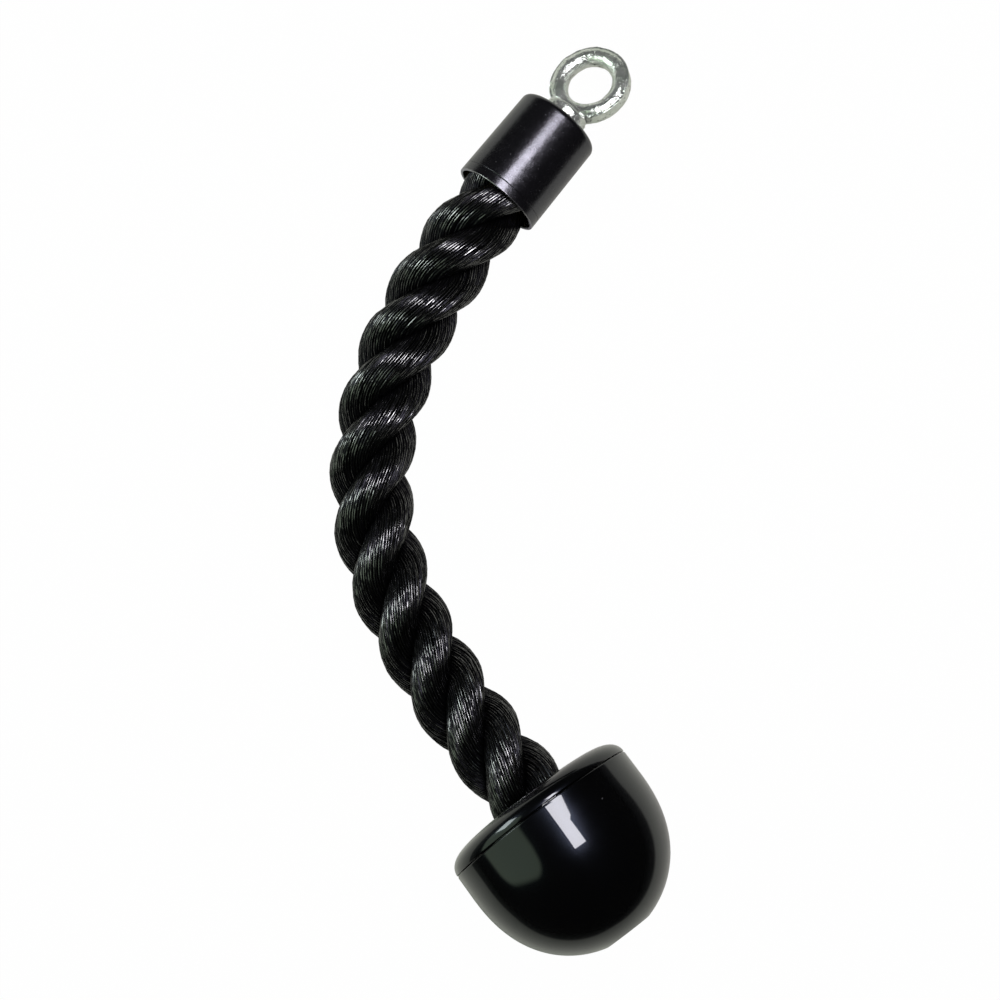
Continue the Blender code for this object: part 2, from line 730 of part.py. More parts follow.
def make_ball_dome(bench, carrier, frame):
    """The ball's upper shell: a low dome with the rope's hole and a spigot that centres it in the bowl."""
    bore = ROPE_RADIUS + GAP
    seam = -SEAM_GAP / 2
    mouth = dome_outline()[-1]
    spigot_outer = SPIGOT_OUTER_DIAMETER / 2
    spigot_inner = spigot_outer - SPIGOT_WALL
    outline = [
        (bore, mouth[1] + MOUTH_EDGE),
        *reversed(dome_outline()[1:]),
        (BALL_RADIUS, seam),
        (spigot_outer, seam),
        (spigot_outer, SPIGOT_DEPTH),
        (spigot_inner, SPIGOT_DEPTH),
        (spigot_inner, seam),
        (bore, seam),
    ]
    mesh = turned_mesh("ball_dome", outline)
    bench.piece("ball_dome", mesh, frame, carrier, "gloss_black_ball")


def make_ball_bowl(bench, carrier, frame):
    """The ball's lower shell, with the rope's chamber, the spigot's groove and the screw's access hole."""
    seam = SEAM_GAP / 2
    groove_outer = SPIGOT_OUTER_DIAMETER / 2 + GAP
    groove_inner = SPIGOT_OUTER_DIAMETER / 2 - SPIGOT_WALL - GAP
    groove_end = SPIGOT_DEPTH + GAP
    chamber = BAND_OUTER_RADIUS + GAP
    chamber_end = DISC_END + GAP
    access = PLUG_DIAMETER / 2 + GAP
    outline = [
        (BALL_RADIUS, seam),
        *bowl_outline()[1:],
        (access, BOWL_DEPTH),
        (access, chamber_end),
        (chamber, chamber_end),
        (chamber, seam),
        (groove_inner, seam),
        (groove_inner, groove_end),
        (groove_outer, groove_end),
        (groove_outer, seam),
    ]
    mesh = turned_mesh("ball_bowl", outline)
    bench.piece("ball_bowl", mesh, frame, carrier, "gloss_black_ball")


def screw_outline(room):
    """The coach screw's shank inside the rope, grown by room, from its point to past the rope's end."""
    radius = SCREW_DIAMETER / 2 + room
    point = ROPE_END - SCREW_GRIP
    return [
        (0, point - room),
        (radius, point + SCREW_POINT - room),
        (radius, ROPE_END + OVERRUN),
        (0, ROPE_END + OVERRUN),
    ]


def make_rope_end_stop(bench, carrier, frame):
    """Band, disc, washer, screw and plug that hold the rope's end in the ball."""
    band = drum_mesh(
        "rope_end_band", BAND_OUTER_RADIUS, BAND_START, BAND_END, TURN_STEPS, BAND_INNER_RADIUS
    )
    bench.piece("rope_end_band", band, frame, carrier, "inner_steel")
    hole = SCREW_DIAMETER / 2 + GAP
    disc = drum_mesh("rope_end_disc", BAND_OUTER_RADIUS, DISC_START, DISC_END, TURN_STEPS, hole)
    bench.piece("rope_end_disc", disc, frame, carrier, "inner_steel")
    washer = drum_mesh(
        "screw_washer",
        SCREW_WASHER_DIAMETER / 2,
        SCREW_WASHER_START,
        SCREW_WASHER_END,
        SMALL_TURN_STEPS,
        hole,
    )
    bench.piece("screw_washer", washer, frame, carrier, "inner_steel")
    shank = screw_outline(0)
    shank[2] = (SCREW_DIAMETER / 2, SCREW_HEAD_START + SCREW_HEAD_HEIGHT / 2)
    shank[3] = (0, SCREW_HEAD_START + SCREW_HEAD_HEIGHT / 2)
    shank_mesh = turned_mesh("screw_shank_stock", shank, SMALL_TURN_STEPS, closed=False)
    head_mesh = hex_mesh("end_screw", SCREW_HEAD_DIAMETER, SCREW_HEAD_START, SCREW_HEAD_END)
    screw = bench.piece("end_screw", head_mesh, frame, carrier, "inner_steel")
    add_boolean(screw, bench.cutter("screw_shank_stock", shank_mesh, frame), "UNION")
    radius = PLUG_DIAMETER / 2
    plug = [
        (0, PLUG_START),
        (radius - PLUG_CHAMFER, PLUG_START),
        (radius, PLUG_START + PLUG_CHAMFER),
        (radius, BOWL_DEPTH),
        (0, BOWL_DEPTH),
    ]
    plug_mesh = turned_mesh("end_plug", plug, SMALL_TURN_STEPS, closed=False)
    bench.piece("end_plug", plug_mesh, frame, carrier, "gloss_black_ball")


# Assembly


def lay_out():
    """The ferrule's frame, the ball's frame and the rope's route between their mouths."""
    span = ROPE_SPAN
    down_cup = heading_vector(FERRULE_HEADING, FERRULE_TILT)
    down_ball = heading_vector(BALL_HEADING, BALL_TILT)
    ferrule_height = resting_height(ferrule_outline(), FERRULE_TILT)
    ball_height = resting_height(dome_outline() + bowl_outline(), BALL_TILT)
    mouth_height = ferrule_height + FERRULE_LENGTH * math.sin(FERRULE_TILT)
    ball_mouth_height = ball_height + MOUTH_STATION * math.sin(BALL_TILT)
    points = []
    for index, (x_share, y_share, lift_share) in enumerate(ROUTE_SHARES):
        end_height = mouth_height if index < BELLY_INDEX else ball_mouth_height
        height = ROPE_RADIUS + lift_share * (end_height - ROPE_RADIUS)
        points.append((x_share * span, y_share * span, height))
    route = Route(clamped_spline(points, down_cup, down_ball), down_cup, down_ball)
    ferrule = local_frame(Vector(points[0]) - FERRULE_LENGTH * down_cup, down_cup)
    ball = local_frame(Vector(points[-1]) - MOUTH_STATION * down_ball, down_ball)
    return ferrule, ball, route


def print_report(route, strand_radius, helix_radius, ferrule, ball, eye_centre, flex_point):
    print(f"rope {route.length * 1000:.1f} mm exposed, tightest bend {route.tightest_bend() * 1000:.0f} mm")
    print(f"strand radius {strand_radius * 1000:.2f} mm on a helix of {helix_radius * 1000:.2f} mm")
    for name, place in (("ferrule", ferrule), ("ball", ball)):
        spot = [round(value, 5) for value in place.translation]
        axis = [round(value, 5) for value in place.col[2][:3]]
        print(name, "frame at", spot, "along", axis)
    print("eye centre", [round(value, 5) for value in eye_centre])
    end = ball @ Vector((0, 0, BOWL_DEPTH))
    print("flat end", [round(value, 5) for value in end])
    print("flex at", [round(float(value), 5) for value in flex_point])


def main():
    clear_scene()
    bench = Bench()
    ferrule, ball, route = lay_out()
    strand_radius, helix_radius = strand_sizes(route.tightest_bend())
    flex_point = route.point(FLEX_SHARE * route.length)
    cup_axis = bench.axis("ferrule_axis", ferrule)
    turned_frame = ferrule @ Matrix.Rotation(EYE_TURN, 4, "Z")
    swivel = bench.axis("eye_swivel_axis", turned_frame, cup_axis)
    flex = bench.axis("rope_flex_axis", Matrix.Translation(flex_point), cup_axis)
    eye_centre = make_eye_bolt(bench, swivel, turned_frame)
    make_nut_stack(bench, swivel, turned_frame)
    make_ferrule_cup(bench, cup_axis, ferrule)
    make_nut_cover(bench, cup_axis, ferrule)
    make_resin(bench, cup_axis, ferrule, route, strand_radius, helix_radius)
    carriers = {"upper": cup_axis, "lower": flex}
    make_strands(bench, route, carriers, strand_radius, helix_radius, ferrule, ball)
    make_ball_dome(bench, flex, ball)
    make_ball_bowl(bench, flex, ball)
    make_rope_end_stop(bench, flex, ball)
    print_report(route, strand_radius, helix_radius, ferrule, ball, eye_centre, flex_point)


main()
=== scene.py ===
"""A single-grip triceps rope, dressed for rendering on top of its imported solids.

Lengths are in metres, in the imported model's frame: +Z is up and the part lies on z = 0. The ferrule frame
starts at the centre of the ferrule's closed face, and its local +Z runs down the cup towards the rope. The
ball frame starts at the centre of the ball's seam, and its local +Z runs towards the ball's flat end. In
both, local +X leans up and local +Y lies level.
"""

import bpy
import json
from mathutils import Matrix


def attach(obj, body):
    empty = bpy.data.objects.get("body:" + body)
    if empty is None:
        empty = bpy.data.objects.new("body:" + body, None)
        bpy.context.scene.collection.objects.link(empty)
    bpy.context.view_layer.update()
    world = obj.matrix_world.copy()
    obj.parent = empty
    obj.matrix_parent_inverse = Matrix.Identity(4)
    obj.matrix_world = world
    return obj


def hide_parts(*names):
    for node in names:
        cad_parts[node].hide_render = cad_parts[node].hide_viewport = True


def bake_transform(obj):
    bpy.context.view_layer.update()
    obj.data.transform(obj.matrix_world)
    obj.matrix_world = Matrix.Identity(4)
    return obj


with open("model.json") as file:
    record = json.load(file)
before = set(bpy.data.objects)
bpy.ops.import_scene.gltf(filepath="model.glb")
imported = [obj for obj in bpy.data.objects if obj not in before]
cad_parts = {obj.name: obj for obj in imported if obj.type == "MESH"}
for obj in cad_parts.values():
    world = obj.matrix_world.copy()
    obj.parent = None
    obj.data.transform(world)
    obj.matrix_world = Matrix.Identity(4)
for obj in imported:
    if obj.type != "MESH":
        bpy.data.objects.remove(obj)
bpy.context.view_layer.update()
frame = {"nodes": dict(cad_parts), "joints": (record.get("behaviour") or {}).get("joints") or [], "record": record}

import json
import math

import bmesh
import bpy
import numpy as np
from bpy.props import FloatProperty, FloatVectorProperty, IntProperty, PointerProperty
from mathutils import Matrix, Vector, noise

bl_info = {
    "name": "Triceps rope",
    "version": (1, 0, 0),
    "blender": (4, 5, 0),
    "location": "3D View > Sidebar > Rope",
    "description": "Makes a hard-laid rope with a forged eye, a ferrule and a ball stop",
    "category": "Object",
}

UP = Vector((0, 0, 1))
MERGE_DISTANCE = 0.000001
SMOOTH_ANGLE = math.radians(32)
ROPE_SMOOTH_ANGLE = math.radians(75)
SPLINE_SAMPLES = 600
LEAD_STEPS = 7  # points on the rope's straight stretch inside each fitting
END_OVERRUN = 0.006  # how far the rope is made past its ends before they are cut square

# The rope's centre from the ferrule's mouth to the ball's mouth, as the solids have it
ROUTE_POINTS = (
    (-0.02273, 0.10217, 0.01869),
    (-0.04274, 0.07485, 0.01765),
    (-0.06047, 0.03878, 0.01559),
    (-0.06672, -0.00542, 0.01500),
    (-0.05379, -0.04691, 0.01757),
    (-0.02919, -0.08444, 0.02581),
    (-0.01126, -0.10613, 0.03332),
)
STRAND_NODES = [f"rope_strand_{strand}_{run}" for strand in (1, 2, 3) for run in ("upper", "lower")]


# Sizes and colours that a user would change


def length(name, description, default):
    return FloatProperty(name=name, description=description, default=default, unit="LENGTH", precision=5)


def angle(name, description, degrees):
    return FloatProperty(
        name=name, description=description, default=math.radians(degrees), unit="ROTATION"
    )


def colour(name, description, default):
    return FloatVectorProperty(
        name=name, description=description, default=default, size=3, subtype="COLOR", min=0, max=1
    )


def position(name, description, default):
    return FloatVectorProperty(
        name=name, description=description, default=default, size=3, subtype="TRANSLATION", unit="LENGTH"
    )


def amount(name, description, default):
    return FloatProperty(name=name, description=description, default=default)


def count(name, description, default):
    return IntProperty(name=name, description=description, default=default, min=1)


class RopeSizes(bpy.types.PropertyGroup):
    diameter: length("Diameter", "Across the whole rope", 0.030)
    strand_radius: length("Strand radius", "Of one of the three strands, over its yarns", 0.0063)
    lay: length("Lay", "Along the rope, for one full turn of a strand", 0.067)
    phase: angle("Phase", "Where the first strand starts round the rope", 225)
    necking: length("Necking", "How much the rope's radius is drawn in at the ferrule", 0.0012)
    necking_reach: length("Necking reach", "How far outside the ferrule the rope is full again", 0.022)
    hidden_top: length("Hidden top", "Rope held inside the ferrule", 0.0193)
    hidden_end: length("Hidden end", "Rope held inside the ball", 0.03165)
    strands: count("Strands", "Laid up to make the rope", 3)
    yarns: count("Yarns", "Seen round one strand", 37)
    yarn_points: count("Points per yarn", "Profile points that round one yarn", 5)
    yarn_depth: length("Yarn depth", "From a yarn's crest to the groove beside it", 0.00034)
    yarn_lift: length("Yarn lift", "How much one yarn may stand over another", 0.00028)
    yarn_wander: length("Yarn wander", "How much a yarn's height changes along it", 0.00024)
    side_fill: length("Side fill", "How far the strands are pressed into one another", 0.0008)
    heart_fill: length("Heart fill", "How far the strands are pressed into the rope's middle", 0.0017)
    yarn_turn: amount("Yarn turn", "Radians that the yarns turn back round their strand in one lay", -11.5)
    rings: count("Rings", "Rings of points along each strand", 168)
    seed: count("Seed", "Starts the yarns' unevenness", 7)
    blend_inset: length("Blend inset", "How far past each mouth the rope starts to bend", 0.0095)


class FerruleSizes(bpy.types.PropertyGroup):
    length: length("Length", "Along the cup", 0.0363)
    diameter: length("Diameter", "At the closed end", 0.0313)
    flare: length("Flare", "How much wider its radius is at the mouth", 0.0005)
    wall: length("Wall", "Of the drawn cup", 0.0012)
    corner: length("Corner", "Radius between the closed face and the side", 0.0021)
    score_from_rim: length("Score from rim", "From the mouth to the scored line", 0.0033)
    score_width: length("Score width", "Of the scored line", 0.0004)
    score_depth: length("Score depth", "Of the scored line", 0.0002)
    rim: length("Rim", "Radius that the mouth's edge is worn to", 0.0003)
    hole: length("Hole", "Radius of the bolt's hole", 0.0043)
    steps: count("Steps", "Points round the cup", 176)


class EyeSizes(bpy.types.PropertyGroup):
    turn: angle("Turn", "Of the ring about the ferrule's axis", 25)
    hole: length("Hole", "Across the ring's hole", 0.0162)
    section_width: length("Section width", "Across the ring's stock, in the ring's plane", 0.0065)
    section_height: length("Section height", "Through the ring", 0.0068)
    band_height: length("Band height", "The trimmed flat on the ring's outer side", 0.0046)
    foot: length("Foot", "From the ferrule to the ring's outer side", 0.0027)
    neck: length("Neck", "Across the neck", 0.0072)
    collar: length("Collar", "Across the collar", 0.0163)
    collar_thickness: length("Collar thickness", "Through the collar", 0.0048)
    collar_edge: length("Collar edge", "Radius of the collar's edges", 0.0012)
    fillet: length("Fillet", "Where the neck meets the collar", 0.0002)
    shank: length("Shank", "Across the shank in the ferrule", 0.008)
    shank_end: length("Shank end", "How far the shank reaches into the ferrule", 0.0135)
    seat_gap: length("Seat gap", "Between the collar and the ferrule", 0.0003)
    detail: length("Detail", "Size of the forging's mesh", 0.00026)
    hammering: length("Hammering", "How uneven the forged faces are", 0.00015)


class BallSizes(bpy.types.PropertyGroup):
    diameter: length("Diameter", "Across the ball at its seam", 0.0712)
    dome_height: length("Dome height", "From the seam to where the dome would close", 0.0072)
    dome_radial: amount("Dome shoulder", "How square the dome's shoulder is", 7.0)
    dome_axial: amount("Dome crown", "How flat the dome's crown is", 2.2)
    mouth: length("Mouth", "Radius of the rope's hole", 0.0153)
    mouth_edge: length("Mouth edge", "Radius of the hole's edge", 0.0008)
    land: length("Land", "The bowl's straight stretch beside the seam", 0.008)
    depth: length("Depth", "From the seam to the flat end", 0.0486)
    flat: length("Flat", "Across the flat end", 0.0176)
    bowl_radial: amount("Bowl belly", "How round the bowl's belly is", 2.0)
    bowl_axial: amount("Bowl crown", "How flat the bowl's crown is", 2.35)
    seam_gap: length("Seam gap", "Between the two shells", 0.0003)
    seam_edge: length("Seam edge", "Radius of the shells' edges at the seam", 0.0004)
    spigot: length("Spigot", "Radius of the dome's spigot", 0.030)
    spigot_wall: length("Spigot wall", "Through the spigot", 0.004)
    spigot_depth: length("Spigot depth", "How far the spigot reaches into the bowl", 0.004)
    chamber: length("Chamber", "Radius of the room for the rope's end", 0.0171)
    chamber_end: length("Chamber end", "From the seam to the chamber's floor", 0.0271)
    plug: length("Plug", "Across the plug in the flat end", 0.0136)
    plug_gap: length("Plug gap", "Round the plug", 0.0003)
    plug_thickness: length("Plug thickness", "Through the plug", 0.0045)
    steps: count("Steps", "Points round the ball", 224)


class Finishes(bpy.types.PropertyGroup):
    zinc: colour("Zinc", "Forged and zinc-plated eye", (0.86, 0.89, 0.84))
    ferrule: colour("Ferrule", "Blackened steel cup", (0.0045, 0.0043, 0.0052))
    rope: colour("Rope", "Black synthetic fibre", (0.0020, 0.0022, 0.0013))
    ball: colour("Ball", "Moulded black shells", (0.0012, 0.0012, 0.0013))
    steel: colour("Inner steel", "Bright steel inside the fittings", (0.52, 0.52, 0.53))
    nylon: colour("Nylon", "Insert of the lock nut", (0.76, 0.76, 0.72))
    cover: colour("Cover", "Plastic cap over the nut", (0.10, 0.10, 0.11))
    resin: colour("Resin", "Bonding resin in the cup", (0.34, 0.20, 0.06))
    floor: colour("Floor", "Plain floor under the part", (0.60, 0.60, 0.53))


class StageSizes(bpy.types.PropertyGroup):
    camera_place: position("Camera place", "Straight above the part", (-0.0213, -0.00382, 0.607))
    lens: FloatProperty(name="Lens", description="Focal length in millimetres", default=60, unit="CAMERA")
    key_place: position("Key light place", "Centre of the softbox", (0.11, 0.068, 0.6))
    key_width: length("Key width", "Across the softbox", 0.155)
    key_length: length("Key length", "Along the softbox", 0.19)
    key_radiance: amount("Key brightness", "Of the softboxes' faces", 15.0)
    side_radiance: amount("Side brightness", "Of the softbox on the left", 7.0)
    panel_radiance: amount("Panel brightness", "Of the dim panel on the left", 0.72)
    room: amount("Room", "Brightness of the dark room round the part", 0.010)
    white_share: amount("White share", "How much of the floor's white is there without the lamps", 0.99)
    floor_reach: length("Floor reach", "Half the side of the floor", 2.0)


SETTINGS = {
    "rope_sizes": RopeSizes,
    "ferrule_sizes": FerruleSizes,
    "eye_sizes": EyeSizes,
    "ball_sizes": BallSizes,
    "rope_finishes": Finishes,
    "rope_stage": StageSizes,
}


# Frames and outlines


def local_frame(origin, direction):
    """Local Z along direction, local X leaning up and local Y level."""
    side = direction.cross(UP).normalized()
    lift = side.cross(direction)
    axes = Matrix((lift, side, direction)).transposed()
    return Matrix.Translation(origin) @ axes.to_4x4()


def ferrule_frame():
    swivel = next(joint for joint in frame["joints"] if joint["name"] == "eye_swivel")
    return local_frame(Vector(swivel["pos_m"]), -Vector(swivel["axis"]).normalized())


def ball_frame(depth):
    face = next(mount for mount in frame["record"]["mounts"] if mount["name"] == "ball_end_face")
    axis = Vector(face["axis"]).normalized()
    return local_frame(Vector(face["pos_m"]) - depth * axis, axis)


def rounded_outline(corners, steps=6):
    """(radius, height) points through (radius, height, fillet) corners, each rounded by its fillet."""
    points = []
    total = len(corners)
    for index, (r, z, fillet) in enumerate(corners):
        here = Vector((r, z))
        if not fillet:
            points.append((r, z))
            continue
        before = (Vector(corners[index - 1][:2]) - here).normalized()
        after = (Vector(corners[(index + 1) % total][:2]) - here).normalized()
        half = before.angle(after) / 2
        centre = here + (before + after).normalized() * (fillet / math.sin(half))
        start = here + before * (fillet / math.tan(half)) - centre
        end = here + after * (fillet / math.tan(half)) - centre
        for step in range(steps + 1):
            arm = start.slerp(end, step / steps).normalized() * fillet
            points.append(tuple(centre + arm))
    return guarded(points)


def guarded(points, reach=0.00035):
    """The outline with a point near each end of its long stretches, which keeps them flat when shaded."""
    kept = []
    for here, following in zip(points, points[1:] + points[:1]):
        kept.append(here)
        stretch = Vector(following) - Vector(here)
        on_axis = here[0] < MERGE_DISTANCE and following[0] < MERGE_DISTANCE
        if stretch.length > 4 * reach and not on_axis:
            step = stretch.normalized() * reach
            kept += [tuple(Vector(here) + step), tuple(Vector(following) - step)]
    return kept


def full_outline(radius, height, powers, from_radius, steps=48):
    """(radius, height) points of (r / radius)^a + (h / height)^b = 1, from the widest point inwards."""
    radial, axial = powers
    last = math.acos((from_radius / radius) ** (radial / 2))
    points = []
    for turn in np.linspace(0, last, steps + 1):
        r = radius * math.cos(turn) ** (2 / radial)
        points.append((r, height * math.sin(turn) ** (2 / axial)))
    return points


def turned_mesh(name, outline, place, steps):
    """A closed shell turned about a frame's local Z. An outline that ends on the axis closes there."""
    work = bmesh.new()
    rings = []
    for r, z in outline:
        if r < MERGE_DISTANCE:
            rings.append([work.verts.new(place @ Vector((0, 0, z)))] * steps)
            continue
        ring = []
        for turn in np.linspace(0, 2 * math.pi, steps, endpoint=False):
            ring.append(work.verts.new(place @ Vector((r * math.cos(turn), r * math.sin(turn), z))))
        rings.append(ring)
    on_axis = outline[0][0] < MERGE_DISTANCE
    for before, after in zip(rings, rings[1:] if on_axis else rings[1:] + rings[:1]):
        for index in range(steps):
            following = (index + 1) % steps
            corners = [before[index], before[following], after[following], after[index]]
            work.faces.new(list(dict.fromkeys(corners)))
    bmesh.ops.recalc_face_normals(work, faces=work.faces)
    mesh = bpy.data.meshes.new(name)
    work.to_mesh(mesh)
    work.free()
    mesh.shade_smooth()
    mesh.set_sharp_from_angle(angle=SMOOTH_ANGLE)
    return mesh


def add_piece(name, mesh, material):
    piece = bpy.data.objects.new(name, mesh)
    bpy.context.scene.collection.objects.link(piece)
    mesh.materials.clear()
    mesh.materials.append(material)
    return piece


def settled_mesh(obj):
    """The object's mesh with its modifiers worked in, after which the object is removed."""
    bpy.context.view_layer.update()
    graph = bpy.context.evaluated_depsgraph_get()
    mesh = bpy.data.meshes.new_from_object(obj.evaluated_get(graph))
    bpy.data.objects.remove(obj, do_unlink=True)
    return mesh


# Node trees


class Wiring:
    """A node tree being wired. A call adds one node, plugs in what it is given and lays it out."""

    def __init__(self, tree):
        self.tree = tree
        self.made = 0

    def node(self, kind, sockets=None, **settings):
        added = self.tree.nodes.new(kind)
        added.location = (200 * (self.made // 5), -260 * (self.made % 5))
        self.made += 1
        for setting, value in settings.items():
            setattr(added, setting, value)
        for socket, value in (sockets or {}).items():
            self.plug(value, added.inputs[socket])
        return added

    def plug(self, value, socket):
        if isinstance(value, bpy.types.NodeSocket):
            self.tree.links.new(value, socket)
        else:
            socket.default_value = value

    def math(self, operation, *values, clamp=False):
        added = self.node("ShaderNodeMath", dict(enumerate(values)), operation=operation, use_clamp=clamp)
        return added.outputs[0]

    def plus(self, first, second, clamp=False):
        return self.math("ADD", first, second, clamp=clamp)

    def minus(self, first, second):
        return self.math("SUBTRACT", first, second)

    def times(self, first, second):
        return self.math("MULTIPLY", first, second)

    def over(self, first, second):
        return self.math("DIVIDE", first, second)

    def vector(self, operation, *values):
        added = self.node("ShaderNodeVectorMath", dict(enumerate(values)), operation=operation)
        return added.outputs["Value" if operation in ("LENGTH", "DOT_PRODUCT") else "Vector"]

    def scaled(self, vector, factor):
        added = self.node("ShaderNodeVectorMath", {0: vector, "Scale": factor}, operation="SCALE")
        return added.outputs["Vector"]

    def combine(self, x, y, z):
        return self.node("ShaderNodeCombineXYZ", {0: x, 1: y, 2: z}).outputs[0]

    def ranged(self, value, low, high, to_low=0.0, to_high=1.0, kind="SMOOTHSTEP"):
        sockets = {0: value, 1: low, 2: high, 3: to_low, 4: to_high}
        return self.node("ShaderNodeMapRange", sockets, interpolation_type=kind).outputs[0]

    def noise(self, vector, scale, detail=2.0, roughness=0.5, distortion=0.0):
        sockets = {"Vector": vector, "Scale": scale, "Detail": detail}
        sockets |= {"Roughness": roughness, "Distortion": distortion}
        return self.node("ShaderNodeTexNoise", sockets).outputs["Fac"]

    def mixed(self, factor, first, second):
        """A colour between two others."""
        added = self.node("ShaderNodeMix", data_type="RGBA")
        for socket, value in ((0, factor), (6, first), (7, second)):
            if socket and not isinstance(value, bpy.types.NodeSocket):
                value = (*value, 1.0)
            self.plug(value, added.inputs[socket])
        return added.outputs[2]

    def attribute(self, name, output="Fac"):
        """A mesh attribute, as a material reads it."""
        return self.node("ShaderNodeAttribute", attribute_name=name).outputs[output]

    def stored(self, geometry, name, value, kind="FLOAT"):
        """The geometry with a named attribute added."""
        sockets = {"Geometry": geometry, "Name": name, "Value": value}
        return self.node("GeometryNodeStoreNamedAttribute", sockets, data_type=kind).outputs[0]

    def recalled(self, name, kind="FLOAT"):
        """A named attribute that the geometry carries."""
        return self.node("GeometryNodeInputNamedAttribute", {"Name": name}, data_type=kind).outputs[0]


def socket_name(setting):
    """A socket's label from a plain keyword: coat_weight names Coat Weight."""
    return setting.replace("_", " ").title().replace("Ior", "IOR")


def grouped(name, inputs, outputs, kind="ShaderNodeTree"):
    """A node group with the named sockets, and its wiring with the sockets of its two ends."""
    tree = bpy.data.node_groups.new(name, kind)
    for label, socket_type, default in inputs:
        socket = tree.interface.new_socket(name=label, in_out="INPUT", socket_type=socket_type)
        if default is not None:
            socket.default_value = default
    for label, socket_type in outputs:
        tree.interface.new_socket(name=label, in_out="OUTPUT", socket_type=socket_type)
    wiring = Wiring(tree)
    given = wiring.node("NodeGroupInput").outputs
    taken = wiring.node("NodeGroupOutput").inputs
    return tree, wiring, given, taken


NUMBER = "NodeSocketFloat"
WHOLE_NUMBER = "NodeSocketInt"
VECTOR = "NodeSocketVector"
GEOMETRY = "NodeSocketGeometry"


def grain_group():
    """Cloudy unevenness with fine grain in it, for castings, forgings, moulded plastic and resin."""
    inputs = [("Vector", VECTOR, None), ("Cloud Scale", NUMBER, 150.0), ("Grain Scale", NUMBER, 1500.0)]
    inputs += [("Grain Share", NUMBER, 0.4)]
    tree, wiring, given, taken = grouped("grain", inputs, [("Mask", NUMBER), ("Height", NUMBER)])
    cloud = wiring.noise(given["Vector"], scale=given["Cloud Scale"], detail=3.0, roughness=0.55)
    grain = wiring.noise(given["Vector"], scale=given["Grain Scale"], detail=4.0, roughness=0.6)
    blend = wiring.node("ShaderNodeMix", {0: given["Grain Share"], 2: cloud, 3: grain})
    wiring.plug(wiring.ranged(cloud, 0.3, 0.7), taken["Mask"])
    wiring.plug(blend.outputs[0], taken["Height"])
    return tree


def pits_group():
    """Scattered small pits or specks, of which only a share shows."""
    inputs = [("Vector", VECTOR, None), ("Scale", NUMBER, 900.0), ("Share", NUMBER, 0.2)]
    inputs += [("Size", NUMBER, 0.35)]
    tree, wiring, given, taken = grouped("pits", inputs, [("Mask", NUMBER)])
    cells = wiring.node("ShaderNodeTexVoronoi", {"Vector": given["Vector"], "Scale": given["Scale"]})
    chosen = wiring.node("ShaderNodeSeparateColor", {0: cells.outputs["Color"]}).outputs[0]
    shown = wiring.math("LESS_THAN", chosen, given["Share"])
    half = wiring.times(given["Size"], 0.4)
    spot = wiring.ranged(cells.outputs["Distance"], given["Size"], half)
    wiring.plug(wiring.times(shown, spot), taken["Mask"])
    return tree


def turning_group():
    """Fine marks that run round a turned or drawn piece, from its own local coordinates."""
    inputs = [("Vector", VECTOR, None), ("Fineness", NUMBER, 6000.0), ("Length", NUMBER, 60.0)]
    tree, wiring, given, taken = grouped("turning_marks", inputs, [("Mask", NUMBER), ("Height", NUMBER)])
    parts = wiring.node("ShaderNodeSeparateXYZ", {0: given["Vector"]}).outputs
    across = [wiring.times(parts[axis], given["Length"]) for axis in (0, 1)]
    along = wiring.times(parts[2], given["Fineness"])
    marks = wiring.noise(wiring.combine(across[0], across[1], along), scale=1.0, detail=4.0, roughness=0.75)
    wiring.plug(wiring.ranged(marks, 0.52, 0.74), taken["Mask"])
    wiring.plug(marks, taken["Height"])
    return tree


def scratches_group():
    """Sparse hairline scratches that run every way over a handled surface."""
    inputs = [("Vector", VECTOR, None), ("Scale", NUMBER, 90.0), ("Share", NUMBER, 0.5)]
    tree, wiring, given, taken = grouped("hairline_scratches", inputs, [("Mask", NUMBER)])
    lines = []
    for turn in ((0.4, 0.9, 0.3), (1.3, -0.5, 2.1)):
        turned = wiring.node("ShaderNodeMapping", {"Vector": given["Vector"], "Rotation": turn})
        drawn = wiring.vector("MULTIPLY", turned.outputs[0], (1.0, 26.0, 3.0))
        streak = wiring.noise(drawn, scale=given["Scale"], detail=1.0, roughness=0.5, distortion=0.25)
        off = wiring.math("ABSOLUTE", wiring.minus(streak, 0.5))
        lines.append(wiring.ranged(off, 0.010, 0.0))
    line = wiring.math("MAXIMUM", *lines)
    patches = wiring.noise(given["Vector"], scale=55.0, detail=1.0)
    shown = wiring.ranged(patches, wiring.minus(1.0, given["Share"]), 1.0)
    wiring.plug(wiring.times(line, shown), taken["Mask"])
    return tree


def shared(make):
    """The node group that a function makes, made once."""
    name = make.__name__
    if name not in shared.kept:
        shared.kept[name] = make()
    return shared.kept[name]


shared.kept = {}


def use_group(wiring, make, place, **settings):
    """The outputs of a shared group that is given its coordinates and its values."""
    added = wiring.node("ShaderNodeGroup", {"Vector": place}, node_tree=shared(make))
    for setting, value in settings.items():
        wiring.plug(value, added.inputs[socket_name(setting)])
    return added.outputs


def begin_material(name, **fixed):
    """A new material's wiring and shader, with the shader's fixed values set."""
    material = bpy.data.materials.new(name)
    material.use_nodes = True
    wiring = Wiring(material.node_tree)
    shader = material.node_tree.nodes["Principled BSDF"]
    shader.location = (1800, 0)
    material.node_tree.nodes["Material Output"].location = (2100, 0)
    for setting, value in fixed.items():
        shader.inputs[socket_name(setting)].default_value = value
    return material, wiring, shader.inputs


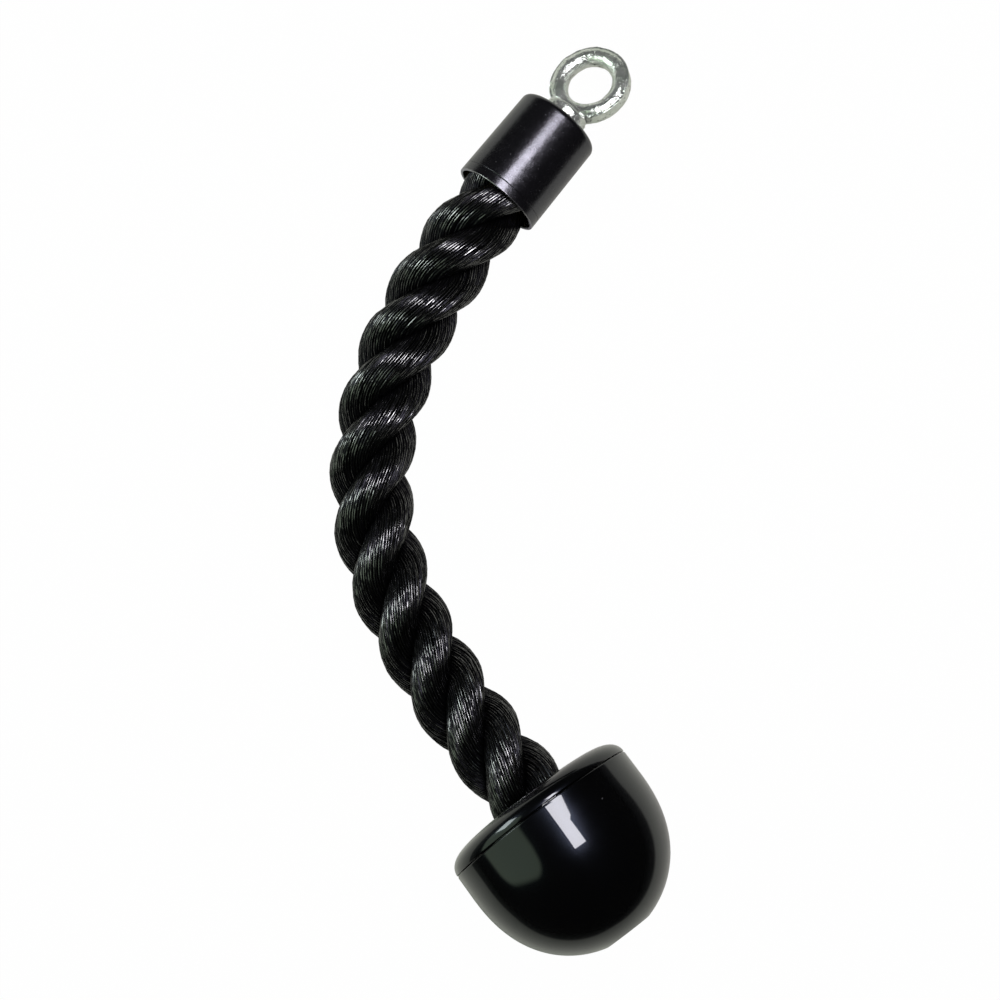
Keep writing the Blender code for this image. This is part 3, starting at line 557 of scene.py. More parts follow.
def object_coordinates(wiring, place=None):
    """Object coordinates in metres, in a frame's own axes if one is given."""
    plain = wiring.node("ShaderNodeTexCoord").outputs["Object"]
    if place is None:
        return plain
    sockets = {"Vector": plain, "Location": place.translation, "Rotation": place.to_euler()}
    return wiring.node("ShaderNodeMapping", sockets, vector_type="TEXTURE").outputs[0]


def bumped(wiring, height, distance, strength=1.0, under=None):
    """A normal raised by a height, over another normal if one is given."""
    sockets = {"Height": height, "Distance": distance, "Strength": strength}
    if under is not None:
        sockets["Normal"] = under
    return wiring.node("ShaderNodeBump", sockets).outputs[0]


def tint(base, factor):
    return tuple(min(1.0, part * factor) for part in base)


# Materials

# How deep the finest relief of each finish is, in metres
ZINC_RELIEF = 0.00030
MARKS_RELIEF = 0.000014
BLOOM_RELIEF = 0.00006
BALL_RELIEF = 0.00003
FIBRE_RELIEF = 0.00022
STEEL_RELIEF = 0.00002
NYLON_RELIEF = 0.00003
COVER_RELIEF = 0.00004
RESIN_RELIEF = 0.00012

# Colours that stand beside a finish's own, and colours of painted shade
ZINC_STAIN = (0.72, 0.80, 0.72)  # as shares of the zinc's colour
STEEL_DUST = (0.20, 0.20, 0.21)
BALL_DUST = (0.16, 0.16, 0.17)
BARE_STEEL = (0.28, 0.28, 0.28)
# painted shade: near-black put into the rope's yarn grooves and on the strands' inward-facing sides, where shade
# falls
PAINTED_GROOVE_SHADE = (0.0003, 0.0003, 0.0003)
# painted shade: the dark colour that gloss sees on the floor beyond the painted pool of light
PAINTED_FLOOR_SHADE = (0.03, 0.03, 0.03)

RIM_CHIPPING = 0.0006  # how far the ferrule's bare rim wanders
BARE_RIM = (-0.0001, 0.0002)  # where it starts and is whole, from the mouth's edge
POOL_FADE = 1.3  # where the painted pool of light has faded out, as a share of its half sides
GLOSS_WHITE = 0.05  # how much of the floor's white glow gloss sees in the painted pool of light
GLOSS_HORIZON = -0.05  # the slope of a reflected ray below which it sees the white round the room


def zinc_material(base):
    """Bright zinc plate over a forging: softly mottled, a little green, with pits in a few places."""
    material, wiring, shader = begin_material("forged_zinc", metallic=0.82)
    place = object_coordinates(wiring)
    rough = use_group(wiring, grain_group, place, cloud_scale=420.0, grain_scale=1200.0, grain_share=0.5)
    specks = use_group(wiring, pits_group, place, scale=1150.0, share=0.6, size=0.44)
    clusters = wiring.ranged(wiring.noise(place, scale=230.0, detail=2.0), 0.50, 0.57)
    pits = wiring.times(specks["Mask"], clusters)
    stain = wiring.ranged(wiring.noise(place, scale=150.0, detail=4.0, roughness=0.6), 0.42, 0.66)
    toned = wiring.mixed(rough["Mask"], tint(base, 0.86), tint(base, 1.1))
    green = tuple(part * share for part, share in zip(base, ZINC_STAIN))
    stained = wiring.mixed(wiring.times(stain, 0.6), toned, green)
    wiring.plug(wiring.mixed(pits, stained, tint(base, 0.08)), shader["Base Color"])
    wiring.plug(wiring.ranged(rough["Mask"], 0.1, 0.9, 0.14, 0.27), shader["Roughness"])
    low = wiring.minus(rough["Height"], wiring.times(pits, 0.5))
    wiring.plug(bumped(wiring, low, ZINC_RELIEF), shader["Normal"])
    return material


def ferrule_material(base, place, cup_length):
    """Blackened drawn steel: fine marks round the cup, handling scratches and a bare bright rim."""
    fixed = {"ior": 1.8, "specular_tint": (0.90, 0.89, 1.0, 1.0)}
    material, wiring, shader = begin_material("blackened_steel", **fixed)
    local = object_coordinates(wiring, place)
    marks = use_group(wiring, turning_group, local, fineness=5200.0, length=42.0)
    hairs = use_group(wiring, scratches_group, local, scale=90.0, share=0.36)
    specks = use_group(wiring, pits_group, local, scale=1300.0, share=0.03, size=0.26)
    bloom = use_group(wiring, grain_group, local, cloud_scale=330.0, grain_scale=1500.0, grain_share=0.55)
    height = wiring.node("ShaderNodeSeparateXYZ", {0: local}).outputs[2]
    chipping = wiring.times(wiring.noise(local, scale=900.0, detail=3.0), RIM_CHIPPING)
    from_rim = wiring.minus(wiring.plus(height, chipping), cup_length)
    rim = wiring.ranged(from_rim, *BARE_RIM)
    scuffed = wiring.plus(wiring.times(marks["Mask"], 0.3), hairs["Mask"], clamp=True)
    dull = wiring.mixed(wiring.times(scuffed, 0.55), base, tint(base, 3.4))
    dusty = wiring.mixed(wiring.times(specks["Mask"], 0.5), dull, STEEL_DUST)
    wiring.plug(wiring.mixed(rim, dusty, BARE_STEEL), shader["Base Color"])
    wiring.plug(rim, shader["Metallic"])
    wiring.plug(wiring.ranged(bloom["Height"], 0.32, 0.68, 0.15, 0.30, "LINEAR"), shader["Roughness"])
    raised = wiring.minus(marks["Height"], wiring.times(hairs["Mask"], 0.4))
    turned = bumped(wiring, raised, MARKS_RELIEF, strength=0.8)
    wiring.plug(bumped(wiring, bloom["Height"], BLOOM_RELIEF, strength=0.8, under=turned), shader["Normal"])
    return material


def ball_material(name, base):
    """Glossy moulded plastic with the faint hairlines and dust of handling."""
    fixed = {"ior": 1.28, "coat_weight": 1.0, "coat_roughness": 0.03, "specular_tint": (0.62, 0.72, 1.0, 1.0)}
    material, wiring, shader = begin_material(name, **fixed)
    place = object_coordinates(wiring)
    hairs = use_group(wiring, scratches_group, place, scale=40.0, share=0.42)
    specks = use_group(wiring, pits_group, place, scale=420.0, share=0.018, size=0.16)
    swirl = use_group(wiring, grain_group, place, cloud_scale=60.0, grain_scale=900.0, grain_share=0.05)
    wiring.plug(wiring.mixed(wiring.times(specks["Mask"], 0.4), base, BALL_DUST), shader["Base Color"])
    gloss = wiring.ranged(swirl["Mask"], 0.0, 1.0, 0.20, 0.26, "LINEAR")
    wiring.plug(wiring.plus(gloss, wiring.times(hairs["Mask"], 0.10)), shader["Roughness"])
    wiring.plug(bumped(wiring, swirl["Height"], BALL_RELIEF, strength=0.35), shader["Normal"])
    return material


def rope_material(base):
    """Black fibre: fine filaments along each yarn and uneven yarns, with painted shade: the grooves between the
    yarns and the strands' inward sides are painted near-black.
    """
    fixed = {"ior": 1.28, "coat_ior": 2.5, "coat_roughness": 0.18, "specular_tint": (0.80, 0.78, 1.0, 1.0)}
    material, wiring, shader = begin_material("rope_fibre", **fixed)
    around = wiring.attribute("around", "Vector")
    station = wiring.attribute("station")
    crest = wiring.attribute("crest")
    exposure = wiring.attribute("exposure")

    def drawn_out(across, along):
        wide = wiring.scaled(around, across)
        return wiring.vector("ADD", wide, wiring.combine(0.0, 0.0, wiring.times(station, along)))

    filaments = wiring.noise(drawn_out(across=14.0, along=430.0), scale=1.0, detail=2.0, roughness=0.6)
    broken = wiring.noise(drawn_out(across=7.0, along=560.0), scale=1.0, detail=1.0)
    yarns = wiring.noise(drawn_out(across=9.0, along=60.0), scale=1.0, detail=1.0)
    # Painted shade: the base colour goes near-black in the grooves between yarns (low crest) and where a strand
    # faces into the rope (low exposure)
    open_side = wiring.ranged(exposure, 0.15, 0.68)
    shade = wiring.times(wiring.ranged(crest, 0.45, 0.98), open_side)
    toned = wiring.mixed(wiring.ranged(yarns, 0.35, 0.65), tint(base, 0.5), tint(base, 1.5))
    lit = wiring.mixed(wiring.ranged(filaments, 0.5, 0.8), toned, tint(base, 2.6))
    wiring.plug(wiring.mixed(shade, PAINTED_GROOVE_SHADE, lit), shader["Base Color"])
    sheen = wiring.ranged(filaments, 0.3, 0.7, 0.74, 0.58)
    kept_sheen = wiring.times(sheen, wiring.ranged(exposure, 0.05, 0.62, 0.9, 1.0))
    wiring.plug(wiring.minus(1.0, kept_sheen), shader["Roughness"])
    streaks = wiring.times(wiring.ranged(filaments, 0.42, 0.52), wiring.ranged(broken, 0.36, 0.48))
    raised = wiring.times(wiring.ranged(crest, 0.5, 0.9), open_side)
    wiring.plug(wiring.times(streaks, raised), shader["Coat Weight"])
    height = wiring.plus(broken, wiring.times(filaments, 0.4))
    wiring.plug(bumped(wiring, height, FIBRE_RELIEF), shader["Normal"])
    return material


def steel_material(base, place):
    """Bright turned steel with a film of oil."""
    material, wiring, shader = begin_material("inner_steel", metallic=1.0)
    local = object_coordinates(wiring, place)
    marks = use_group(wiring, turning_group, local, fineness=4000.0, length=90.0)
    film = use_group(wiring, grain_group, local, cloud_scale=220.0, grain_scale=1800.0, grain_share=0.3)
    toned = wiring.mixed(film["Mask"], tint(base, 0.8), tint(base, 1.1))
    wiring.plug(wiring.mixed(marks["Mask"], toned, tint(base, 0.6)), shader["Base Color"])
    wiring.plug(wiring.ranged(film["Height"], 0.3, 0.7, 0.28, 0.42), shader["Roughness"])
    wiring.plug(bumped(wiring, marks["Height"], STEEL_RELIEF, strength=0.6), shader["Normal"])
    return material


def moulded_material(name, base, low, high, depth):
    """Plain moulded plastic or set resin, a little cloudy, with a fine grain."""
    material, wiring, shader = begin_material(name)
    place = object_coordinates(wiring)
    grain = use_group(wiring, grain_group, place, cloud_scale=260.0, grain_scale=2200.0, grain_share=0.5)
    wiring.plug(wiring.mixed(grain["Mask"], tint(base, 0.82), tint(base, 1.12)), shader["Base Color"])
    wiring.plug(wiring.ranged(grain["Height"], 0.3, 0.7, low, high), shader["Roughness"])
    wiring.plug(bumped(wiring, grain["Height"], depth, strength=0.7), shader["Normal"])
    return material


def floor_material(base, white_share, middle, half_sides):
    """A pale floor that the camera and glass see as white, with a trace of the part's shadow.

    Gloss sees it as it is lit, with a faint painted white glow, only in a painted pool of light round the part:
    beyond that its colour is painted dark, as painted shade.
    """
    material, wiring, shader = begin_material("pale_floor", roughness=0.9)
    tree = wiring.tree
    place = object_coordinates(wiring)
    path = wiring.node("ShaderNodeLightPath").outputs
    away = wiring.vector("ABSOLUTE", wiring.vector("SUBTRACT", place, middle))
    parts = wiring.node("ShaderNodeSeparateXYZ", {0: away}).outputs
    inside = []
    # painted pool of light: gloss sees the floor lit and faintly glowing only inside this rectangle round the part
    for axis, half_side in enumerate(half_sides):
        inside.append(wiring.ranged(parts[axis], half_side * POOL_FADE, half_side))
    gloss = wiring.times(path["Is Glossy Ray"], wiring.times(*inside))
    direct = wiring.math("MAXIMUM", path["Is Camera Ray"], path["Is Transmission Ray"])
    seen = wiring.times(wiring.math("MAXIMUM", direct, wiring.times(gloss, GLOSS_WHITE)), white_share)
    # painted shade: beyond the pool, gloss sees the floor in a painted dark colour though the lamps light it
    painted_dark_floor = wiring.minus(path["Is Glossy Ray"], gloss)
    clouds = wiring.ranged(wiring.noise(place, scale=3.0, detail=2.0), 0.2, 0.8)
    pale = wiring.mixed(clouds, tint(base, 0.985), tint(base, 1.015))
    wiring.plug(wiring.mixed(painted_dark_floor, pale, PAINTED_FLOOR_SHADE), shader["Base Color"])
    white = wiring.node("ShaderNodeEmission", {"Color": (1, 1, 1, 1), "Strength": 1.0})
    body = tree.nodes["Principled BSDF"]
    mix = wiring.node("ShaderNodeMixShader", {0: seen, 1: body.outputs[0], 2: white.outputs[0]})
    tree.links.new(mix.outputs[0], tree.nodes["Material Output"].inputs[0])
    return material


# Stage

KEY_TONE = (0.97, 0.95, 1.0)
KEY_ROLL = math.radians(33)
FAR_BOX_SIZE = (0.23, 0.16)
FAR_BOX_PLACE = (0.068, 0.274, 0.6)
FAR_BOX_ROLL = math.radians(-38)
SIDE_TONE = (0.88, 0.98, 0.95)
SIDE_BOX_SIZE = (0.3, 0.35)
SIDE_BOX_PLACE = (-0.8, 0.2, 0.4)
SIDE_BOX_TARGET = (-0.05, 0, 0.02)
PANEL_TONE = (0.80, 1.0, 0.74)
PANEL_SIZE = (1.26, 1.22)
PANEL_PLACE = (-0.892, -0.204, 0.672)
PANEL_TARGET = (0, -0.115, 0.05)
PANEL_ROLL = math.radians(15)
PANEL_CORNER = 0.36
PANEL_BLUR = 0.13
# the rectangle of the floor's painted pool of light, as gloss sees it
POOL_CENTRE = (-0.02, -0.02, 0.0)
POOL_HALF_SIDES = (0.18, 0.36)


def set_world(room):
    """A dark room that the camera and glass see as white, as gloss does below the horizon."""
    world = bpy.data.worlds.new("dark_room")
    bpy.context.scene.world = world
    world.use_nodes = True
    wiring = Wiring(world.node_tree)
    backdrop = world.node_tree.nodes["Background"]
    path = wiring.node("ShaderNodeLightPath").outputs
    ray = wiring.node("ShaderNodeTexCoord").outputs["Generated"]
    slope = wiring.node("ShaderNodeSeparateXYZ", {0: ray}).outputs[2]
    falling = wiring.math("LESS_THAN", slope, GLOSS_HORIZON)
    gloss = wiring.times(path["Is Glossy Ray"], falling)
    direct = wiring.math("MAXIMUM", path["Is Camera Ray"], path["Is Transmission Ray"])
    seen = wiring.math("MAXIMUM", direct, gloss)
    wiring.plug(wiring.mixed(seen, (room, room, room), (1.0, 1.0, 1.0)), backdrop.inputs["Color"])


def add_lamp(name, size, radiance, place, target, tone, roll=0.0):
    """A rectangular lamp whose face has the given brightness, turned towards a point."""
    lamp = bpy.data.lights.new(name, "AREA")
    lamp.shape = "RECTANGLE"
    lamp.size, lamp.size_y = size
    lamp.energy = math.pi * size[0] * size[1] * radiance
    lamp.color = tone
    holder = bpy.data.objects.new(name, lamp)
    bpy.context.scene.collection.objects.link(holder)
    place = Vector(place)
    facing = (Vector(target) - place).to_track_quat("-Z", "Y").to_matrix().to_4x4()
    holder.matrix_world = Matrix.Translation(place) @ facing @ Matrix.Rotation(roll, 4, "Z")
    return holder


def soften_lamp(lamp, corner, blur):
    """Round a rectangular lamp's corners and blur its edge, both given in metres."""
    lamp.use_nodes = True
    wiring = Wiring(lamp.node_tree)
    across = wiring.node("ShaderNodeNewGeometry").outputs["Parametric"]
    centred = wiring.vector("SUBTRACT", across, (0.5, 0.5, 0.0))
    reach = wiring.vector("ABSOLUTE", wiring.vector("MULTIPLY", centred, (lamp.size, lamp.size_y, 0.0)))
    straight = (lamp.size / 2 - corner, lamp.size_y / 2 - corner, 0.0)
    beyond = wiring.vector("MAXIMUM", wiring.vector("SUBTRACT", reach, straight), (0.0, 0.0, 0.0))
    strength = wiring.ranged(wiring.vector("LENGTH", beyond), corner, corner - blur)
    wiring.plug(strength, lamp.node_tree.nodes["Emission"].inputs["Strength"])


def set_camera(sizes):
    """The camera straight above the part, looking down."""
    scene = bpy.context.scene
    camera = bpy.data.cameras.new("camera")
    camera.lens = sizes.lens
    camera.sensor_width = 36
    camera.clip_start = 0.01
    holder = bpy.data.objects.new("camera", camera)
    holder.location = sizes.camera_place
    scene.collection.objects.link(holder)
    scene.camera = holder


def set_lamps(sizes):
    """Two softboxes overhead, one on the left, and the dim panel on the left that the ball mirrors."""
    for name, size, place, roll in (
        ("softbox", (sizes.key_width, sizes.key_length), sizes.key_place, KEY_ROLL),
        ("far_softbox", FAR_BOX_SIZE, FAR_BOX_PLACE, FAR_BOX_ROLL),
    ):
        below = (place[0], place[1], 0)
        add_lamp(name, size, sizes.key_radiance, place, below, KEY_TONE, roll)
    bright, dim = sizes.side_radiance, sizes.panel_radiance
    add_lamp("left_softbox", SIDE_BOX_SIZE, bright, SIDE_BOX_PLACE, SIDE_BOX_TARGET, SIDE_TONE)
    panel = add_lamp("left_panel", PANEL_SIZE, dim, PANEL_PLACE, PANEL_TARGET, PANEL_TONE, PANEL_ROLL)
    soften_lamp(panel.data, PANEL_CORNER, PANEL_BLUR)


def set_stage(sizes, finishes):
    """The camera, the room, the lamps and the floor."""
    bpy.context.scene.view_settings.view_transform = "Standard"
    set_camera(sizes)
    set_world(sizes.room)
    set_lamps(sizes)
    reach = sizes.floor_reach
    mesh = bpy.data.meshes.new("floor")
    corners = [(-reach, -reach, 0), (reach, -reach, 0), (reach, reach, 0), (-reach, reach, 0)]
    mesh.from_pydata(corners, [], [(0, 1, 2, 3)])
    finish = floor_material(finishes.floor, sizes.white_share, POOL_CENTRE, POOL_HALF_SIDES)
    add_piece("floor", mesh, finish)


# Rope


def clamped_spline(points, start_direction, end_direction):
    """Positions along the smooth curve through points, which leaves and arrives in given directions."""
    points = np.array(points)
    lengths = np.linalg.norm(np.diff(points, axis=0), axis=1)
    knots = np.concatenate([[0], np.cumsum(lengths)])
    total = len(points)
    system = np.zeros((total, total))
    known = np.zeros((total, points.shape[1]))
    system[0, 0] = 1
    system[-1, -1] = 1
    known[0] = start_direction
    known[-1] = end_direction
    for i in range(1, total - 1):
        before, after = lengths[i - 1], lengths[i]
        system[i, i - 1 : i + 2] = (after, 2 * (before + after), before)
        rise = after / before * (points[i] - points[i - 1]) + before / after * (points[i + 1] - points[i])
        known[i] = 3 * rise
    slopes = np.linalg.solve(system, known)
    places = []
    for distance in np.linspace(0, knots[-1], SPLINE_SAMPLES):
        i = min(np.searchsorted(knots, distance, side="right") - 1, total - 2)
        t = (distance - knots[i]) / lengths[i]
        along = (2 * t**3 - 3 * t**2 + 1) * points[i] + (3 * t**2 - 2 * t**3) * points[i + 1]
        bend = (t**3 - 2 * t**2 + t) * slopes[i] + (t**3 - t**2) * slopes[i + 1]
        places.append(along + lengths[i] * bend)
    return np.array(places)


def rope_route(down_cup, down_ball, before, after):
    """The rope's centre from its top to its end, straight inside both fittings."""
    places = clamped_spline(ROUTE_POINTS, down_cup, down_ball)
    shares = np.linspace(0, 1, LEAD_STEPS + 1)[1:]
    lead_in = [places[0] - share * before * np.array(down_cup) for share in reversed(shares)]
    lead_out = [places[-1] + share * after * np.array(down_ball) for share in shares]
    return np.array([*lead_in, *places, *lead_out])


def route_curve(places):
    curve = bpy.data.curves.new("rope_route", "CURVE")
    curve.dimensions = "3D"
    spline = curve.splines.new("POLY")
    spline.points.add(len(places) - 1)
    for knot, place in zip(spline.points, places):
        knot.co = (*place, 1)
    holder = bpy.data.objects.new("rope_route", curve)
    bpy.context.scene.collection.objects.link(holder)
    return holder


# The inputs that take the rope sizes of the same names
ROPE_SHAPE = [
    ("Strands", WHOLE_NUMBER, 3),
    ("Strand Radius", NUMBER, 0.0063),
    ("Lay", NUMBER, 0.067),
    ("Phase", NUMBER, 0.0),
    ("Necking Reach", NUMBER, 0.022),
    ("Rings", WHOLE_NUMBER, 168),
    ("Yarns", WHOLE_NUMBER, 37),
    ("Yarn Points", WHOLE_NUMBER, 5),
    ("Yarn Depth", NUMBER, 0.0003),
    ("Yarn Lift", NUMBER, 0.0003),
    ("Yarn Wander", NUMBER, 0.0002),
    ("Side Fill", NUMBER, 0.0008),
    ("Heart Fill", NUMBER, 0.0017),
    ("Yarn Turn", NUMBER, -11.5),
    ("Seed", WHOLE_NUMBER, 1),
]
ROPE_INPUTS = [
    ("Route", GEOMETRY, None),
    ("Start", NUMBER, 0.0),
    ("Helix Radius", NUMBER, 0.0087),
    ("Narrowest", NUMBER, 0.92),
    *ROPE_SHAPE,
    ("Material", "NodeSocketMaterial", None),
]

# How the yarns swell
SWELL_ALONG = 170.0  # noise cells in a metre along a yarn
SWELL_AROUND = 7.0  # noise cells in a strand's radius
SWELL_LEVEL = 0.62  # the noise that leaves a yarn as it is
SWELL_GAIN = 3.0  # yarn wanders that one whole step of noise moves it

# Cosines of the turn from the rope's outer side, from where the pressing starts to where it is whole
SIDE_PRESSED = (0.25, -0.2)
HEART_PRESSED = (-0.3, -0.95)


def strand_profile(wiring, given):
    """The outline of one strand: a ring of rounded yarns, each at its own height."""
    points = wiring.times(given["Yarns"], given["Yarn Points"])
    ring = wiring.node("GeometryNodeCurvePrimitiveCircle", {"Resolution": points})
    wiring.plug(1.0, ring.inputs["Radius"])
    index = wiring.node("GeometryNodeInputIndex").outputs[0]
    per_yarn = wiring.over(index, given["Yarn Points"])
    yarn = wiring.math("FLOOR", per_yarn)
    across = wiring.minus(wiring.times(wiring.math("FRACT", per_yarn), 2.0), 1.0)
    round_top = wiring.math("SQRT", wiring.minus(1.0, wiring.times(across, across)))
    chance = wiring.node("FunctionNodeRandomValue", {"ID": yarn, "Seed": given["Seed"]}, data_type="FLOAT")
    dip = wiring.times(wiring.minus(1.0, round_top), given["Yarn Depth"])
    drop = wiring.times(chance.outputs[1], given["Yarn Lift"])
    radius = wiring.minus(given["Strand Radius"], wiring.plus(dip, drop))
    place = wiring.node("GeometryNodeInputPosition").outputs[0]
    marked = wiring.stored(ring.outputs["Curve"], "around", place, "FLOAT_VECTOR")
    marked = wiring.stored(marked, "crest", round_top)
    sockets = {"Geometry": marked, "Position": wiring.scaled(place, radius)}
    return wiring.node("GeometryNodeSetPosition", sockets).outputs[0]


def strand_lines(wiring, given):
    """The strands' centre lines, wound round the route, and how full the rope is along them."""
    sockets = {"Curve": given["Route"], "Count": given["Rings"]}
    line = wiring.node("GeometryNodeResampleCurve", sockets).outputs[0]
    copies = wiring.node("GeometryNodeDuplicateElements", {"Geometry": line}, domain="SPLINE")
    wiring.plug(given["Strands"], copies.inputs["Amount"])
    passed = wiring.node("GeometryNodeSplineParameter").outputs["Length"]
    station = wiring.plus(passed, given["Start"])
    share = wiring.over(copies.outputs["Duplicate Index"], given["Strands"])
    turns = wiring.times(wiring.minus(share, wiring.over(station, given["Lay"])), 2 * math.pi)
    turn = wiring.plus(given["Phase"], turns)
    tangent = wiring.node("GeometryNodeInputTangent").outputs[0]
    side = wiring.vector("NORMALIZE", wiring.vector("CROSS_PRODUCT", tangent, UP))
    lift = wiring.vector("CROSS_PRODUCT", side, tangent)
    over = wiring.scaled(side, wiring.math("COSINE", turn))
    outward = wiring.vector("ADD", over, wiring.scaled(lift, wiring.math("SINE", turn)))
    fullness = wiring.ranged(station, 0.0, given["Necking Reach"], given["Narrowest"], 1.0)
    capture = wiring.node("GeometryNodeCaptureAttribute")
    for kind, label, value in (
        ("VECTOR", "Outward", outward),
        ("FLOAT", "Fullness", fullness),
        ("FLOAT", "Station", station),
    ):
        capture.capture_items.new(kind, label)
        wiring.plug(value, capture.inputs[label])
    wiring.plug(copies.outputs["Geometry"], capture.inputs["Geometry"])
    kept = capture.outputs
    arm = wiring.times(given["Helix Radius"], kept["Fullness"])
    sockets = {"Geometry": kept["Geometry"], "Offset": wiring.scaled(kept["Outward"], arm)}
    wound = wiring.node("GeometryNodeSetPosition", sockets).outputs[0]
    back = wiring.times(wiring.over(kept["Station"], given["Lay"]), given["Yarn Turn"])
    sockets = {"Vector": kept["Outward"], "Axis": wiring.node("GeometryNodeInputTangent").outputs[0]}
    facing = wiring.node("ShaderNodeVectorRotate", sockets, rotation_type="AXIS_ANGLE")
    wiring.plug(back, facing.inputs["Angle"])
    turned = wiring.node("GeometryNodeSetCurveNormal", {"Curve": wound}, mode="FREE")
    wiring.plug(facing.outputs[0], turned.inputs["Normal"])
    sockets = {"Curve": turned.outputs[0], "Radius": kept["Fullness"]}
    lines = wiring.node("GeometryNodeSetCurveRadius", sockets).outputs[0]
    lines = wiring.stored(lines, "station", kept["Station"])
    lines = wiring.stored(lines, "outward", kept["Outward"], "FLOAT_VECTOR")
    middle = wiring.node("GeometryNodeInputPosition").outputs[0]
    return wiring.stored(lines, "middle", middle, "FLOAT_VECTOR"), kept["Fullness"]


def pressed_skin(wiring, given, skin):
    """The skin with its yarns swollen unevenly and its strands pressed into one another."""
    along = wiring.combine(0.0, 0.0, wiring.times(wiring.recalled("station"), SWELL_ALONG))
    across = wiring.scaled(wiring.recalled("around", "FLOAT_VECTOR"), SWELL_AROUND)
    cells = wiring.noise(wiring.vector("ADD", across, along), scale=1.0, detail=1.0)
    swell = wiring.minus(cells, SWELL_LEVEL)
    push = wiring.times(swell, wiring.times(given["Yarn Wander"], SWELL_GAIN))
    normal = wiring.node("GeometryNodeInputNormal").outputs[0]
    away = wiring.recalled("outward", "FLOAT_VECTOR")
    middle = wiring.recalled("middle", "FLOAT_VECTOR")
    here = wiring.node("GeometryNodeInputPosition").outputs[0]
    spoke = wiring.vector("NORMALIZE", wiring.vector("SUBTRACT", here, middle))
    facing = wiring.vector("DOT_PRODUCT", spoke, away)
    aside = wiring.times(wiring.ranged(facing, *SIDE_PRESSED), given["Side Fill"])
    inward = wiring.times(wiring.ranged(facing, *HEART_PRESSED), given["Heart Fill"])
    pressed = wiring.vector("SUBTRACT", wiring.scaled(spoke, aside), wiring.scaled(away, inward))
    moved = wiring.vector("ADD", wiring.scaled(normal, push), pressed)
    skin = wiring.node("GeometryNodeSetPosition", {"Geometry": skin, "Offset": moved}).outputs[0]
    # exposure: how far the skin faces out of the rope; the rope's material paints shade where it is low
    return wiring.stored(skin, "exposure", wiring.vector("DOT_PRODUCT", normal, away))


def rope_tree():
    """Lays strands round a route and covers each with yarns that turn back round it."""
    tree, wiring, given, taken = grouped("laid_rope", ROPE_INPUTS, [("Rope", GEOMETRY)], "GeometryNodeTree")
    lines, fullness = strand_lines(wiring, given)
    sockets = {"Curve": lines, "Profile Curve": strand_profile(wiring, given), "Fill Caps": True}
    covered = wiring.node("GeometryNodeCurveToMesh", sockets)
    wiring.plug(fullness, covered.inputs["Scale"])
    skin = pressed_skin(wiring, given, covered.outputs[0])
    skin = wiring.node("GeometryNodeRealizeInstances", {"Geometry": skin}).outputs[0]
    skin = wiring.node("GeometryNodeSetShadeSmooth", {"Geometry": skin}).outputs[0]
    skin = wiring.node("GeometryNodeSetMaterial", {"Geometry": skin, "Material": given["Material"]})
    wiring.plug(skin.outputs[0], taken["Rope"])
    return tree


def cut_square(mesh, cuts):
    """Cuts the rope's ends flat at (point, outward direction) planes and closes them."""
    work = bmesh.new()
    work.from_mesh(mesh)
    for point, outward in cuts:
        everything = [*work.verts, *work.edges, *work.faces]
        bmesh.ops.bisect_plane(work, geom=everything, plane_co=point, plane_no=outward, clear_outer=True)
        open_edges = [edge for edge in work.edges if edge.is_boundary]
        bmesh.ops.holes_fill(work, edges=open_edges, sides=0)
    bmesh.ops.recalc_face_normals(work, faces=work.faces)
    work.to_mesh(mesh)
    work.free()
    mesh.shade_smooth()
    mesh.set_sharp_from_angle(angle=ROPE_SMOOTH_ANGLE)


def lay_rope(sizes, cup_length, ball_mouth, finish, cup, ball):
    """The whole rope, from its end in the ferrule to its end in the ball."""
    down_cup = cup.col[2].to_3d()
    down_ball = ball.col[2].to_3d()
    before = sizes.hidden_top + END_OVERRUN
    after = sizes.hidden_end + END_OVERRUN
    places = rope_route(down_cup, down_ball, before, after)
    route = route_curve(places)
    tree = rope_tree()
    modifier = route.modifiers.new("lay", "NODES")
    modifier.node_group = tree
    values = {label: getattr(sizes, label.lower().replace(" ", "_")) for label, *_ in ROPE_SHAPE}
    values["Start"] = -before
    values["Helix Radius"] = sizes.diameter / 2 - sizes.strand_radius
    values["Narrowest"] = 1 - sizes.necking / (sizes.diameter / 2)
    values["Material"] = finish
    for item in tree.interface.items_tree:
        if item.name in values:
            modifier[item.identifier] = values[item.name]
    mesh = settled_mesh(route)
    top = cup @ Vector((0, 0, cup_length - sizes.hidden_top))
    end = ball @ Vector((0, 0, ball_mouth + sizes.hidden_end))
    cut_square(mesh, [(top, -down_cup), (end, down_ball)])
    rope = add_piece("laid_rope", mesh, finish)
    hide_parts(*STRAND_NODES)
    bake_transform(rope)


# Eye bolt

RING_STEPS = 128
SECTION_STEPS = 44
STEM_STEPS = 96
SMOOTHING_STEPS = 4
NECK_FLARE = 0.0006  # how much wider than the neck the stem is inside the ring
SHANK_EDGE = 0.0006

# The forging's unevenness: noise cells in a metre, and shares of the hammering's depth
SWELL_CELLS = 260
RIPPLE_CELLS = 640
RIPPLE_SHARE = 0.6
DENT_CELLS = 420
DENT_SHIFT = Vector((9, 2, 5))
DENT_LEVEL = 0.42  # the noise above which a face is dented
DENT_SHARE = 6
INSET_SHARE = 0.5


